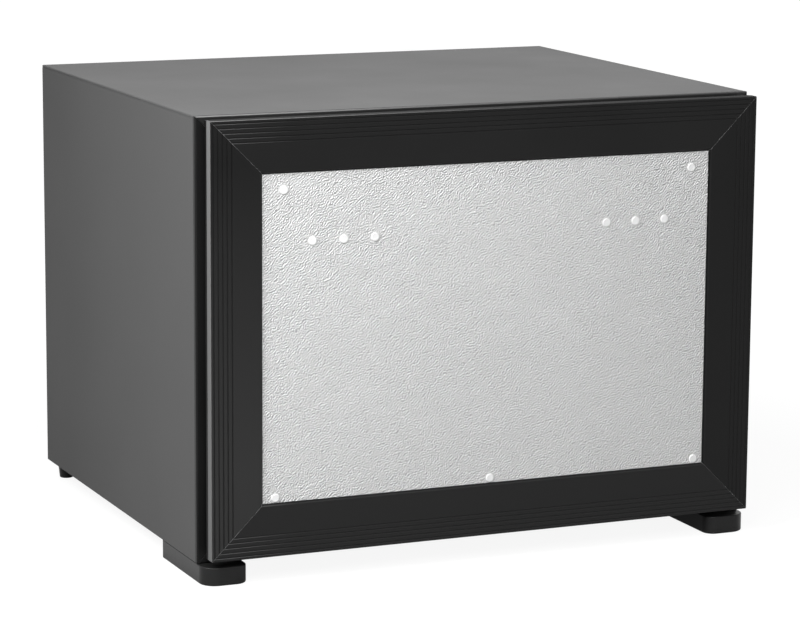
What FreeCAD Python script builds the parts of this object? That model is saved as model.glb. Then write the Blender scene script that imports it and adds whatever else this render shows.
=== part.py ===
import FreeCAD, Part
import math
import os

V = FreeCAD.Vector

# Drawer minibar fridge with an absorption cooling unit. Millimetres, +Z up, the front towards -Y.
# The origin is on the floor, under the middle of the overall width and of the overall depth.

# Cabinet shell
cabinet_width = 550.0
cabinet_height = 403.0
cabinet_depth = 443.2
wall_thickness = 33.0
sheet = 0.8
bend_radius = 1.2
base_bend_radius = 0.8
foot_flange = 44.0
front_flange = 14.0
rear_flange = 10.0
rear_space = 78.0
back_sheet = 0.6
back_insulation = 36.0
joint_drop = 1.6
joint_height = 0.8
joint_depth = 0.4

# Vent slots in the base plate, under the cooling unit
vent_count = 23
vent_pitch = 15.0
vent_width = 7.0
vent_length = 46.0
vent_from_back = 16.0

# Inner liner
liner_wall = 2.0
liner_corner = 12.0
liner_flange = 10.0

# General clearances
overrun = 5.0
seat_gap = 0.3
foam_gap = 0.2
hole_gap = 0.2

# Black trim round the cabinet's mouth, and the steel strip that the seal's magnet holds to
trim_lip = 5.0
trim_wall = 2.0
trim_edge = 1.6
trim_inner_edge = 0.6
strip_width = 10.0
strip_thickness = 1.0

# Drawer front: outline, mitred frame profile and its grooves
front_side_margin = 4.5
front_top_margin = 1.5
front_rise = 7.0
front_corner = 1.2
frame_depth = 14.9
frame_width = 49.0
frame_wall = 1.8
frame_lip = 2.2
frame_edge = 0.6
frame_box = 24.0
frame_band = 9.2
band_groove = 1.2
band_groove_depth = 1.0
rear_lip_inset = 0.5
inner_edge = 1.5
ledge_width = 1.2
ledge_thickness = 0.35
mitre_gap = 0.12
groove_first = 3.0
groove_pitch = 4.3
groove_count = 5
groove_mouth = 1.3
groove_floor = 0.5
groove_depth = 0.5

# Embossed front panel and the white caps in its fixing holes
panel_sheet = 0.7
panel_shift = 1.6
cap_radius = 4.2
cap_thickness = 0.9
cap_edge = 0.4
cap_hole_radius = 3.4
cap_stem = 6.0
fixing_pitch = 30.0
fixing_side = 145.3
fixing_drop = 110.5
upper_cap_inset = 68.0
upper_cap_drop = 63.7
lower_cap_inset = 59.5
lower_cap_height = 53.4

# Inner skin of the drawer front, a shallow pan with a raised block that enters the cabinet
pan_wall = 1.8
block_depth = 27.4
block_side_gap = 20.0
block_end_gap = 10.0
block_corner = 14.0

# Magnetic seal
seal_height = 11.4
seal_inset = 10.0
seal_width = 16.0
seal_wall = 1.2
seal_waist = 1.8
seal_waist_height = 3.6
seal_base = 1.6
seal_stem = 1.6
seal_barb = 3.6
seal_barb_height = 1.2
seal_slot = 2.2
magnet_height = 2.4
magnet_width = 10.0

# Feet and their screws
foot_height = 17.0
front_foot_width = 42.5
front_foot_length = 114.5
front_foot_setback = 6.5
front_foot_outer_corner = 15.0
front_foot_inner_corner = 11.0
front_foot_back_corner = 2.0
front_foot_edge = 1.6
front_foot_top_edge = 1.2
foot_screw_inset = 45.0
foot_screw_pitch = 52.0
foot_screw_radius = 2.1
foot_screw_head_radius = 3.8
foot_screw_head = 2.6
foot_screw_reach = 6.0
foot_counterbore = 4.6
foot_web = 6.0
rear_foot_top_radius = 8.8
rear_foot_base_radius = 6.8
rear_foot_edge = 1.2
rear_foot_side = 16.0
rear_foot_from_back = 12.0

# Telescopic runners, one on each side of the cavity
runner_height = 45.0
runner_thickness = 12.7
runner_sheet = 1.4
runner_setback = 4.2
runner_back_gap = 22.4
runner_level = 150.0
runner_web_gap = 1.0
outer_lip_reach = 10.6
middle_lip_reach = 11.0
inner_lip_start = 6.0
race_depth = 0.4
ball_gap = 0.05
large_ball = 4.0
large_ball_from_wall = 7.2
small_ball = 3.0
small_ball_from_wall = 8.2
cage_sheet = 0.5
cage_strip = 1.0
cage_length = 132.0
cage_start = 84.0
cage_margin = 1.6
cage_play = 0.25
balls_in_row = 4
ball_pitch = 36.0

# Runner screws, and the steel plates foamed in behind the liner that hold them
runner_screw_radius = 1.7
runner_screw_head = 3.2
runner_screw_reach = 8.0
runner_screw_inset = 24.0
anchor_thickness = 2.0
anchor_height = 34.0
anchor_margin = 8.0

# Side rails that join the drawer front to the runners and carry the tub
rail_sheet = 1.5
rail_drop = 20.0
rail_tab = 12.0
rail_tab_screws = 3
rail_screw_radius = 2.0
rail_screw_head = 3.8
rail_screw_head_height = 2.2
rail_screw_reach = 5.0
rail_screw_margin = 12.0
rail_rivet_radius = 1.8
rail_rivet_head = 3.4
rail_rivet_reach = 2.0
front_anchor_thickness = 2.0

# Drawer tub
tub_back_gap = 40.8
tub_height = 200.0
tub_floor_gap = 8.0
tub_wall = 2.2
tub_corner = 18.0
tub_side_gap = 0.5
tub_rim = 2.4
tub_rim_side = 8.0
tub_rim_end = 2.5
tub_rim_corner = 5.0
tub_rim_drop = 10.0
tub_rib_count = 9
tub_rib_margin = 51.3
tub_rib_width = 2.4
tub_rib_height = 1.4

# Sliding dividers, hung on the tub's front and back walls
divider_sheet = 2.6
divider_height = 120.0
divider_side = 80.0
divider_travel = 55.0
divider_hook = 4.0
divider_hook_width = 16.0
divider_corner = 20.0
divider_end_gap = 0.8
divider_window_height = 46.0
divider_window_margin = 34.0
divider_window_corner = 16.0

# Evaporator: finned plate inside, insulated block and tube in the back wall
evaporator_side_gap = 82.0
evaporator_height = 96.0
evaporator_top_gap = 16.0
evaporator_plate = 3.0
evaporator_lip = 10.0
fin_count = 22
fin_reach = 18.0
fin_thickness = 1.4
fin_margin = 8.0
plug_flange = 8.0
plug_flange_margin = 8.0
evaporator_tube_radius = 7.0
evaporator_tube_bend = 18.0
evaporator_tube_inset = 30.0

# Drip channel and drain
channel_reach = 26.0
channel_height = 12.0
channel_wall = 1.6
channel_overhang = 6.0
channel_gap = 2.0
drain_radius = 4.5
drain_wall = 1.0
drain_bend = 12.0
drain_stand = 14.0
tray_width = 120.0
tray_depth = 56.0
tray_height = 16.0
tray_wall = 1.6
tray_corner = 6.0
tray_rise = 14.0

# Interior lamp and its temperature button
lamp_width = 118.0
lamp_depth = 34.0
lamp_height = 12.0
lamp_wall = 1.6
lamp_corner = 4.0
lamp_setback = 40.0
lens_width = 66.0
lens_depth = 20.0
lens_thickness = 1.6
lens_side = 18.0
lens_proud = 0.8
board_thickness = 1.2
board_margin = 3.0
led_count = 3
led_size = 3.4
led_height = 1.2
led_pitch = 20.0
button_radius = 5.0
button_side = 40.0
button_proud = 2.2
button_collar = 1.2
button_collar_height = 1.4
button_depth = 5.0
button_travel = 1.2

# Cooling unit behind the back panel
unit_centre = 32.0
vessel_radius = 27.0
vessel_from_side = 125.0
vessel_to_control = 52.0
vessel_clear = 9.0
vessel_end = 9.0
cradle_thickness = 3.0
cradle_inset = 34.0
cradle_rise = 8.0
coil_radius = 8.0
coil_from_side = 70.0
coil_reach = 25.0
coil_pitch = 42.0
coil_fall = 8.0
coil_passes = 3
coil_above_vessel = 40.0
coil_bend = 15.0
clip_width = 14.0
clip_sheet = 2.0
clip_edge = 6.0
condenser_radius = 7.0
condenser_drop = 36.0
condenser_from_side = 125.0
condenser_to_boiler = 75.0
condenser_tail = 30.0
condenser_fin_count = 18
condenser_fin_width = 44.0
condenser_fin_height = 42.0
condenser_fin_thickness = 0.8
condenser_fin_corner = 3.0
condenser_fin_start = 20.0
condenser_bend = 20.0
boiler_from_side = 75.0
boiler_width = 64.0
boiler_depth = 64.0
boiler_height = 196.0
boiler_rise = 112.0
boiler_sheet = 0.8
boiler_tube_radius = 12.0
boiler_neck = 14.0
boiler_foot = 8.0
heater_radius = 6.0
heater_offset = 21.0
heater_drop = 16.0
heater_depth = 90.0
rectifier_radius = 6.0
pump_radius = 4.0
pump_bend = 12.0
pump_drop = 13.0
pump_reach = 42.5
pump_level = 88.0
liquid_radius = 3.5
liquid_bend = 10.0
exchanger_radius = 10.0
exchanger_bend = 22.0
exchanger_inset = 40.0
liquid_inset = 22.0

# Control box with its mains inlet
control_width = 132.0
control_depth = 58.0
control_height = 64.0
control_from_side = 97.0
control_rise = 8.0
control_wall = 2.2
control_corner = 5.0
control_lid = 2.4
control_lid_lip = 3.0
inlet_width = 28.0
inlet_height = 20.0
inlet_depth = 19.0
inlet_wall = 1.8
inlet_corner = 3.0
inlet_flange = 3.0
inlet_flange_thickness = 2.0
inlet_side = 22.0
inlet_pin_width = 4.0
inlet_pin_thickness = 2.0
inlet_pin_reach = 11.0
inlet_pin_pitch = 7.0
inlet_pin_rise = 2.2
lead_radius = 2.6
lead_offset = 6.0

# Levels and planes worked out from the sizes above
overall_depth = frame_depth + seal_height + trim_lip + cabinet_depth
y_front = -overall_depth / 2
y_frame_back = y_front + frame_depth
y_trim = y_frame_back + seal_height
y_mouth = y_trim + trim_lip
y_back = y_mouth + cabinet_depth
y_rear_wall = y_back - rear_space
y_foam_back = y_rear_wall - back_sheet
y_liner_back = y_foam_back - back_insulation
y_cavity_back = y_liner_back - liner_wall
z_base = foot_height
z_plate = z_base + 2 * sheet
z_top = z_base + cabinet_height
z_floor = z_base + wall_thickness
z_ceiling = z_top - wall_thickness
x_side = cabinet_width / 2
x_cavity = x_side - wall_thickness
front_bottom = z_base + front_rise
front_top = z_top - front_top_margin
front_side = x_side - front_side_margin
y_panel = y_front + frame_lip
y_panel_back = y_panel + panel_sheet
panel_edge = frame_box + seat_gap
block_half = x_cavity - block_side_gap
block_bottom = z_floor + block_end_gap
block_top = z_ceiling - block_end_gap
y_block = y_frame_back + block_depth
z_runner = z_floor + runner_level
y_runner = y_mouth + runner_setback
runner_length = y_cavity_back - runner_back_gap - y_runner
x_rail = x_cavity - runner_thickness - rail_sheet
tub_half = x_rail - tub_side_gap
tub_bottom = z_floor + tub_floor_gap
tub_top = tub_bottom + tub_height
y_tub = y_block + seat_gap + tub_rim_end
y_tub_back = y_cavity_back - tub_back_gap
evaporator_half = x_cavity - evaporator_side_gap
evaporator_top = z_ceiling - evaporator_top_gap
evaporator_bottom = evaporator_top - evaporator_height
channel_top = evaporator_bottom - channel_gap
y_unit = y_rear_wall + unit_centre
z_vessel = z_plate + vessel_clear + vessel_radius
z_condenser = z_top - sheet - condenser_drop
boiler_side = x_side - boiler_from_side
control_side = x_side - control_from_side
vessel_left = vessel_from_side - x_side
vessel_right = control_side - control_width / 2 - vessel_to_control
coil_left = coil_from_side - x_side
coil_right = vessel_right + coil_reach
condenser_left = condenser_from_side - x_side
condenser_right = boiler_side - condenser_to_boiler
fins_left = condenser_left + condenser_fin_start
fins_right = condenser_right - condenser_tail
condenser_fin_pitch = (fins_right - fins_left) / condenser_fin_count


def on_xz(y):
    """Puts an outline's two numbers in the plane y = constant."""
    return lambda a, b: V(a, y, b)


def on_xy(z):
    """Puts an outline's two numbers in the plane z = constant."""
    return lambda a, b: V(a, b, z)


def on_yz(x):
    """Puts an outline's two numbers in the plane x = constant."""
    return lambda a, b: V(x, a, b)


def rounded_path(corners, closed):
    """Edges through (point, radius) corners, with an arc at each corner that has a radius."""
    count = len(corners)
    ends = []
    for i, (point, radius) in enumerate(corners):
        inner = closed or 0 < i < count - 1
        if radius <= 0 or not inner:
            ends.append((point, None, point))
            continue
        before = (corners[i - 1][0] - point).normalize()
        after = (corners[(i + 1) % count][0] - point).normalize()
        half = before.getAngle(after) / 2
        reach = radius / math.tan(half)
        towards = (before + after).normalize()
        middle = point + towards * (radius / math.sin(half) - radius)
        ends.append((point + before * reach, middle, point + after * reach))
    edges = []
    for i, (start, middle, end) in enumerate(ends):
        if middle is not None:
            edges.append(Part.Arc(start, middle, end).toShape())
        if closed or i < count - 1:
            following = ends[(i + 1) % count][0]
            if (following - end).Length > 1e-7:
                edges.append(Part.LineSegment(end, following).toShape())
    return Part.Wire(edges)


def prism(outline, lift, travel, holes=()):
    """A solid with that outline, whose corners are (a, b) or (a, b, radius), and with any holes."""
    wires = []
    for corners in (outline, *holes):
        points = [(lift(c[0], c[1]), c[2] if len(c) > 2 else 0) for c in corners]
        wires.append(rounded_path(points, True))
    face = Part.Face(wires[0])
    for wire in wires[1:]:
        face = face.cut(Part.Face(wire))
    return face.extrude(travel)


def rectangle(a0, a1, b0, b1, radius=0):
    """The four corners of an upright rectangle."""
    return [(a0, b0, radius), (a1, b0, radius), (a1, b1, radius), (a0, b1, radius)]


def box(x0, x1, y0, y1, z0, z1):
    """A block between two corners."""
    return Part.makeBox(x1 - x0, y1 - y0, z1 - z0, V(x0, y0, z0))


def rod(radius, start, end):
    """A round bar from start to end."""
    return Part.makeCylinder(radius, (end - start).Length, start, end - start)


def taper(start_radius, end_radius, start, end):
    """A round taper from start to end."""
    return Part.makeCone(start_radius, end_radius, (end - start).Length, start, end - start)


def pipe(points, radius, bend):
    """A round bar that follows straight runs joined by bends."""
    path = rounded_path([(point, bend) for point in points], False)
    away = (points[1] - points[0]).normalize()
    ring = Part.Wire([Part.makeCircle(radius, points[0], away)])
    return path.makePipeShell([ring], True, True)


def rounded_box(x0, x1, y0, y1, z0, z1, radius, axis, high):
    """A block rounded along one axis and round the face at its high or low end."""
    solid = box(x0, x1, y0, y1, z0, z1)
    limits = ((x0, x1), (y0, y1), (z0, z1))[axis]
    level = limits[1] if high else limits[0]
    edges = []
    for edge in solid.Edges:
        along = abs(edge.tangentAt(edge.FirstParameter)[axis]) > 0.5
        on_end = all(abs(v.Point[axis] - level) < 1e-6 for v in edge.Vertexes)
        if along or on_end:
            edges.append(edge)
    return solid.makeFillet(radius, edges)


def front_ring(inset, width, y0, y1):
    """A square-cornered ring that follows the drawer front's edge."""
    outer = front_side - inset
    inner = outer - width
    low = front_bottom + inset
    high = front_top - inset
    solid = box(-outer, outer, y0, y1, low, high)
    return solid.cut(box(-inner, inner, y0 - overrun, y1 + overrun, low + width, high - width))


def mirrored(shape):
    """The same piece on the other side of the cabinet."""
    return shape.mirror(V(0, 0, 0), V(1, 0, 0))


def mitred_bars(section, hollow, width, depth, x_half, z0, z1, y0):
    """Four bars of one section round a rectangle, cut at 45 degrees. A section is in (inward, backward)."""
    far = width + overrun
    lifts = {
        "left": (lambda u, v: V(-x_half + u, y0 + v, z0), V(0, 0, z1 - z0)),
        "right": (lambda u, v: V(x_half - u, y0 + v, z0), V(0, 0, z1 - z0)),
        "bottom": (lambda u, v: V(-x_half, y0 + v, z0 + u), V(2 * x_half, 0, 0)),
        "top": (lambda u, v: V(-x_half, y0 + v, z1 - u), V(2 * x_half, 0, 0)),
    }
    upright = [
        (-x_half - overrun, z0 - overrun + mitre_gap),
        (-x_half - overrun, z1 + overrun - mitre_gap),
        (-x_half + far, z1 - far - mitre_gap),
        (-x_half + far, z0 + far + mitre_gap),
    ]
    level = [
        (-x_half - overrun + mitre_gap, z0 - overrun),
        (x_half + overrun - mitre_gap, z0 - overrun),
        (x_half - far - mitre_gap, z0 + far),
        (-x_half + far + mitre_gap, z0 + far),
    ]
    wedges = {
        "left": upright,
        "right": [(-a, b) for a, b in upright],
        "bottom": level,
        "top": [(a, z0 + z1 - b) for a, b in level],
    }
    bars = {}
    for side, (lift, travel) in lifts.items():
        bar = prism(section, lift, travel, hollow)
        wedge = prism(wedges[side], on_xz(y0 - overrun), V(0, depth + 2 * overrun, 0))
        bars[side] = bar.common(wedge)
    return bars


def screw(head_radius, head_height, radius, seat, towards, reach):
    """A pan-head screw whose head sits on the seat and whose shank runs from it."""
    head = rod(head_radius, seat - towards * head_height, seat)
    return head.fuse(rod(radius, seat, seat + towards * reach)).removeSplitter()


def flush_screw(head_radius, head_height, radius, face, towards, reach):
    """A countersunk screw whose head lies just under the face."""
    cone = taper(head_radius, radius, face, face + towards * head_height)
    return cone.fuse(rod(radius, face, face + towards * reach)).removeSplitter()


def foot_screw_places():
    """Centres of the foot screws on the left: two in the front foot, one in the rear foot."""
    x = -x_side + front_foot_width / 2
    y = y_front + front_foot_setback + foot_screw_inset
    return [(x, y), (x, y + foot_screw_pitch), (-x_side + rear_foot_side, y_back - rear_foot_from_back)]


def both(places):
    """Those places and the same places mirrored to the right."""
    return places + [(-x, y) for x, y in places]


def wrap_outline(inset):
    """The cabinet's outline, taken in by an inset, with tight bends at the base and wider ones on top."""
    x = x_side - inset
    low = z_base + inset
    high = z_top - inset
    base = max(0, base_bend_radius - inset)
    top = max(0, bend_radius - inset)
    return [(-x, low, base), (x, low, base), (x, high, top), (-x, high, top)]


def joint_line():
    """Cutter for the shallow pressed line along the left side, just under the top."""
    high = z_top - joint_drop
    x0 = -x_side - overrun
    return box(x0, -x_side + joint_depth, y_mouth - overrun, y_back + overrun, high - joint_height, high)


def cabinet_wrap():
    """One folded sheet: both sides, the top, flanges at the front and rear, and flanges for the base."""
    outer = wrap_outline(0)
    shell = prism(outer, on_xz(y_mouth), V(0, cabinet_depth, 0), [wrap_outline(sheet)])
    gap = x_side - foot_flange
    shell = shell.cut(box(-gap, gap, y_mouth - overrun, y_back + overrun, z_base - overrun, z_plate))
    for y0, flange in ((y_mouth, front_flange), (y_back - sheet, rear_flange)):
        plate = prism(outer, on_xz(y0), V(0, sheet, 0))
        x = x_side - flange
        window = box(-x, x, y0 - overrun, y0 + sheet + overrun, z_base - overrun, z_top - flange)
        shell = shell.fuse(plate.cut(window))
    for x, y in both(foot_screw_places()):
        shell = shell.cut(rod(foot_screw_radius + hole_gap, V(x, y, z_base - overrun), V(x, y, z_plate)))
    return shell.cut(joint_line()).cut(mirrored(joint_line())).removeSplitter()


def base_plate():
    """Bottom sheet with an upturned front edge and vent slots under the cooling unit."""
    x = x_side - bend_radius
    low = z_base + sheet
    plate = box(-x, x, y_mouth + sheet, y_back - sheet, low, z_plate)
    x_edge = x_side - front_flange
    plate = plate.fuse(box(-x_edge, x_edge, y_mouth, y_mouth + sheet, low, z_base + front_flange))
    y1 = y_back - vent_from_back
    y0 = y1 - vent_length
    slot = rectangle(-vent_width / 2, vent_width / 2, y0, y1, vent_width * 0.49)
    cutter = prism(slot, on_xy(low - overrun), V(0, 0, sheet + 2 * overrun))
    first = -(vent_count - 1) * vent_pitch / 2
    for i in range(vent_count):
        plate = plate.cut(cutter.translated(V(first + i * vent_pitch, 0, 0)))
    for x, y in both(foot_screw_places()):
        hole = rod(foot_screw_radius + hole_gap, V(x, y, z_base - overrun), V(x, y, z_plate + overrun))
        plate = plate.cut(hole)
    return plate.removeSplitter()


def plug_half():
    """Half the width of the insulated block that fills the back wall's opening."""
    return evaporator_half - evaporator_lip


def drain_point():
    """Where the drain's centre line crosses the cavity's back wall."""
    return V(0, y_cavity_back, channel_top - channel_height + drain_radius + channel_wall)


def drain_hole(radius):
    """Cutter for the drain's way through the back wall."""
    start = drain_point()
    return rod(radius, start - V(0, overrun, 0), V(start.x, y_rear_wall + overrun, start.z))


def back_opening(gap):
    """Cutter for the opening in the back wall that takes the evaporator block."""
    x = plug_half() + gap
    low = evaporator_bottom + evaporator_lip - gap
    high = evaporator_top - evaporator_lip + gap
    return box(-x, x, y_cavity_back - overrun, y_rear_wall + overrun, low, high)


def back_panel():
    """Sheet that closes the insulation at the rear."""
    x = x_side - sheet
    panel = prism(
        rectangle(-x, x, z_plate, z_top - sheet, bend_radius),
        on_xz(y_foam_back),
        V(0, back_sheet, 0),
    )
    return panel.cut(back_opening(seat_gap)).cut(drain_hole(drain_radius + hole_gap))


def runner_screw_ys():
    """Places along the runner of its three fixings."""
    first = y_runner + runner_screw_inset
    last = y_runner + runner_length - runner_screw_inset
    return [first, (first + last) / 2, last]


def anchor_envelope():
    """Steel plate foamed in behind the left side of the liner, where the runner is screwed."""
    x1 = -x_cavity - liner_wall
    ys = runner_screw_ys()
    half = anchor_height / 2
    y0 = ys[0] - anchor_margin
    y1 = ys[-1] + anchor_margin
    return box(x1 - anchor_thickness, x1, y0, y1, z_runner - half, z_runner + half)


def liner_flange_shape(gap):
    """The liner's front flange, which the trim covers, grown by a gap."""
    x = x_cavity + liner_flange + gap
    low = z_floor - liner_flange - gap
    high = z_ceiling + liner_flange + gap
    return box(-x, x, y_mouth, y_mouth + liner_wall + gap, low, high)


def liner_outer(gap):
    """Outside shape of the liner, grown by a gap."""
    x = x_cavity + liner_wall + gap
    low = z_floor - liner_wall - gap
    high = z_ceiling + liner_wall + gap
    radius = liner_corner + liner_wall
    return rounded_box(-x, x, y_mouth - overrun, y_liner_back + gap, low, high, radius, 1, True)


def cabinet_foam():
    """Rigid foam that fills the walls between the sheet and the liner."""
    x = x_side - sheet
    y0 = y_mouth + sheet
    outline = rectangle(-x, x, z_plate, z_top - sheet, bend_radius)
    foam = prism(outline, on_xz(y0), V(0, y_foam_back - y0, 0))
    foam = foam.cut(liner_outer(foam_gap)).cut(liner_flange_shape(foam_gap))
    foam = foam.cut(back_opening(seat_gap)).cut(drain_hole(drain_radius + hole_gap))
    anchor = anchor_envelope()
    pockets = [anchor, mirrored(anchor)]
    for y in runner_screw_ys():
        face = V(-x_cavity, y, z_runner)
        pocket = rod(runner_screw_radius + hole_gap, face, face - V(runner_screw_reach + hole_gap, 0, 0))
        pockets += [pocket, mirrored(pocket)]
    for x, y in both(foot_screw_places()[:2]):
        top = V(x, y, z_base + foot_screw_reach + seat_gap)
        pockets.append(rod(foot_screw_radius + hole_gap, V(x, y, z_base), top))
    for pocket in pockets:
        foam = foam.cut(pocket)
    return foam


def inner_liner():
    """Moulded lining of the cavity, with a flange that the trim covers."""
    shell = liner_outer(0).cut(box(-x_side, x_side, y_mouth - 2 * overrun, y_mouth, z_base, z_top))
    shell = shell.fuse(liner_flange_shape(0))
    inside = rounded_box(
        -x_cavity, x_cavity, y_mouth - overrun, y_cavity_back, z_floor, z_ceiling, liner_corner, 1, True
    )
    shell = shell.cut(inside).cut(back_opening(seat_gap)).cut(drain_hole(drain_radius + hole_gap))
    for y in runner_screw_ys():
        face = V(-x_cavity + overrun, y, z_runner)
        hole = rod(runner_screw_radius + hole_gap, face, face - V(2 * overrun + liner_wall, 0, 0))
        shell = shell.cut(hole).cut(mirrored(hole))
    return shell.removeSplitter()


def cabinet_trim():
    """Four mitred lengths of black channel round the mouth."""
    width = wall_thickness
    section = [
        (0, trim_lip),
        (0, 0, trim_edge),
        (width, 0, trim_inner_edge),
        (width, trim_lip),
        (width - trim_wall, trim_lip),
        (width - trim_wall, trim_wall),
        (trim_wall, trim_wall),
        (trim_wall, trim_lip),
    ]
    return mitred_bars(section, [], width, trim_lip, x_side, z_base, z_top, y_trim)


def four_bars(inset, width, y0, y1, gap):
    """Four butted bars under a ring that follows the drawer front's edge."""
    outer = front_side - inset
    low = front_bottom + inset
    high = front_top - inset
    bars = [
        box(-outer, outer, y0, y1, low, low + width),
        box(-outer, outer, y0, y1, high - width, high),
    ]
    for x0 in (-outer, outer - width):
        bars.append(box(x0, x0 + width, y0, y1, low + width + gap, high - width - gap))
    return bars


def seal_strips():
    """Steel strips inside the trim, which the seal's magnet holds to."""
    inset = seal_inset + (seal_width - strip_width) / 2
    y0 = y_trim + trim_wall
    return four_bars(inset, strip_width, y0, y0 + strip_thickness, seat_gap)


def front_frame():
    """Four mitred lengths of the grooved hollow profile round the drawer front."""
    band_end = frame_band + band_groove
    section = [
        (rear_lip_inset, frame_depth),
        (rear_lip_inset, band_end),
        (band_groove_depth, band_end),
        (band_groove_depth, frame_band),
        (0, frame_band),
        (0, frame_edge),
        (frame_edge, 0),
    ]
    for i in range(groove_count):
        centre = groove_first + i * groove_pitch
        section += [
            (centre - groove_mouth / 2, 0),
            (centre - groove_floor / 2, groove_depth),
            (centre + groove_floor / 2, groove_depth),
            (centre + groove_mouth / 2, 0),
        ]
    section += [
        (frame_width - ledge_width, 0, inner_edge),
        (frame_width - ledge_width, frame_lip - ledge_thickness),
        (frame_width, frame_lip - ledge_thickness),
        (frame_width, frame_lip),
        (frame_box, frame_lip),
        (frame_box, frame_depth),
    ]
    hollow = rectangle(frame_wall, frame_box - frame_wall, frame_lip, frame_depth - frame_wall)
    bars = mitred_bars(
        section, [hollow], frame_width, frame_depth, front_side, front_bottom, front_top, y_front
    )
    inset = seal_inset + (seal_width - seal_slot) / 2
    slot = front_ring(inset, seal_slot, y_frame_back - frame_wall - overrun / 2, y_frame_back + overrun)
    outline = rectangle(-front_side, front_side, front_bottom, front_top, front_corner)
    rounded = prism(outline, on_xz(y_front - overrun), V(0, frame_depth + 2 * overrun, 0))
    return {side: bar.cut(slot).common(rounded) for side, bar in bars.items()}


def cap_places():
    """Centres of the fixing holes in the front panel, as (x, z)."""
    places = []
    for side in (-1, 1):
        places += [
            (side * fixing_side + step * fixing_pitch, front_top - fixing_drop)
            for step in (-1, 0, 1)
        ]
        places.append((side * (front_side - upper_cap_inset), front_top - upper_cap_drop))
        places.append((side * (front_side - lower_cap_inset), front_bottom + lower_cap_height))
    places.append((0, front_bottom + lower_cap_height))
    return [(x + panel_shift, z) for x, z in places]


def front_panel():
    """Thin embossed sheet behind the frame's lip."""
    x = front_side - panel_edge
    panel = box(-x, x, y_panel, y_panel_back, front_bottom + panel_edge, front_top - panel_edge)
    for x, z in cap_places():
        panel = panel.cut(rod(cap_hole_radius, V(x, y_panel - overrun, z), V(x, y_panel_back + overrun, z)))
    return panel


def hole_caps():
    """White push-in caps that close the fixing holes."""
    caps = []
    for x, z in cap_places():
        head = rod(cap_radius, V(x, y_panel - cap_thickness, z), V(x, y_panel, z))
        rim = [e for e in head.Edges if e.Closed and e.CenterOfMass.y < y_panel - cap_thickness / 2]
        head = head.makeFillet(cap_edge, rim)
        stem = rod(cap_hole_radius - hole_gap / 2, V(x, y_panel, z), V(x, y_panel + cap_stem, z))
        caps.append(head.fuse(stem).removeSplitter())
    return caps


def block_shape(inset, y0, y1):
    """The raised block of the front's inner skin, taken in by an inset."""
    x = block_half - inset
    radius = block_corner - inset
    return rounded_box(-x, x, y0, y1, block_bottom + inset, block_top - inset, radius, 1, True)


def tab_screw_places():
    """Heights of the screws in a side rail's front tab."""
    low = rail_bottom() + rail_screw_margin
    high = tub_top - rail_screw_margin
    step = (high - low) / (rail_tab_screws - 1)
    return [low + i * step for i in range(rail_tab_screws)]


def tab_screw_x():
    """Centre line of the screws in the left rail's front tab."""
    return -x_rail - rail_sheet - rail_tab / 2


def front_anchor():
    """Steel plate behind the front's inner skin that takes the left rail's screws."""
    y1 = y_frame_back - pan_wall
    x0 = -x_rail - rail_sheet - rail_tab
    return box(x0, -x_rail, y1 - front_anchor_thickness, y1, rail_bottom(), tub_top)


def front_pan():
    """Inner skin of the drawer front."""
    x = front_side - panel_edge
    y0 = y_frame_back - pan_wall
    low = front_bottom + panel_edge
    high = front_top - panel_edge
    pan = box(-x, x, y0, y_frame_back, low, high).fuse(block_shape(0, y0, y_block))
    pan = pan.cut(block_shape(pan_wall, y0 - overrun, y_block - pan_wall))
    for z in tab_screw_places():
        start = V(tab_screw_x(), y0 - overrun, z)
        hole = rod(rail_screw_radius + hole_gap, start, start + V(0, pan_wall + 2 * overrun, 0))
        pan = pan.cut(hole).cut(mirrored(hole))
    return pan.removeSplitter()


def front_foam():
    """Foam slab of the drawer front, filling the panel, the frame and the raised block."""
    x = front_side - panel_edge
    y1 = y_frame_back - pan_wall
    slab = box(-x, x, y_panel_back, y1, front_bottom + panel_edge, front_top - panel_edge)
    core = block_shape(pan_wall + foam_gap, y1 - pan_wall, y_block - pan_wall - foam_gap)
    foam = slab.fuse(core)
    plate = front_anchor()
    foam = foam.cut(plate).cut(mirrored(plate))
    for x, z in cap_places():
        end = y_panel + cap_stem + hole_gap
        foam = foam.cut(rod(cap_hole_radius, V(x, y_panel, z), V(x, end, z)))
    for z in tab_screw_places():
        start = V(tab_screw_x(), y_frame_back, z)
        end = start - V(0, rail_screw_reach + hole_gap, 0)
        pocket = rod(rail_screw_radius + hole_gap, start, end)
        foam = foam.cut(pocket).cut(mirrored(pocket))
    return foam.removeSplitter()


def front_anchors():
    """The two steel plates, with their screw holes."""
    plate = front_anchor()
    for z in tab_screw_places():
        start = V(tab_screw_x(), y_frame_back, z)
        end = start - V(0, pan_wall + front_anchor_thickness + overrun, 0)
        plate = plate.cut(rod(rail_screw_radius + hole_gap, start, end))
    return [plate, mirrored(plate)]


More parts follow.
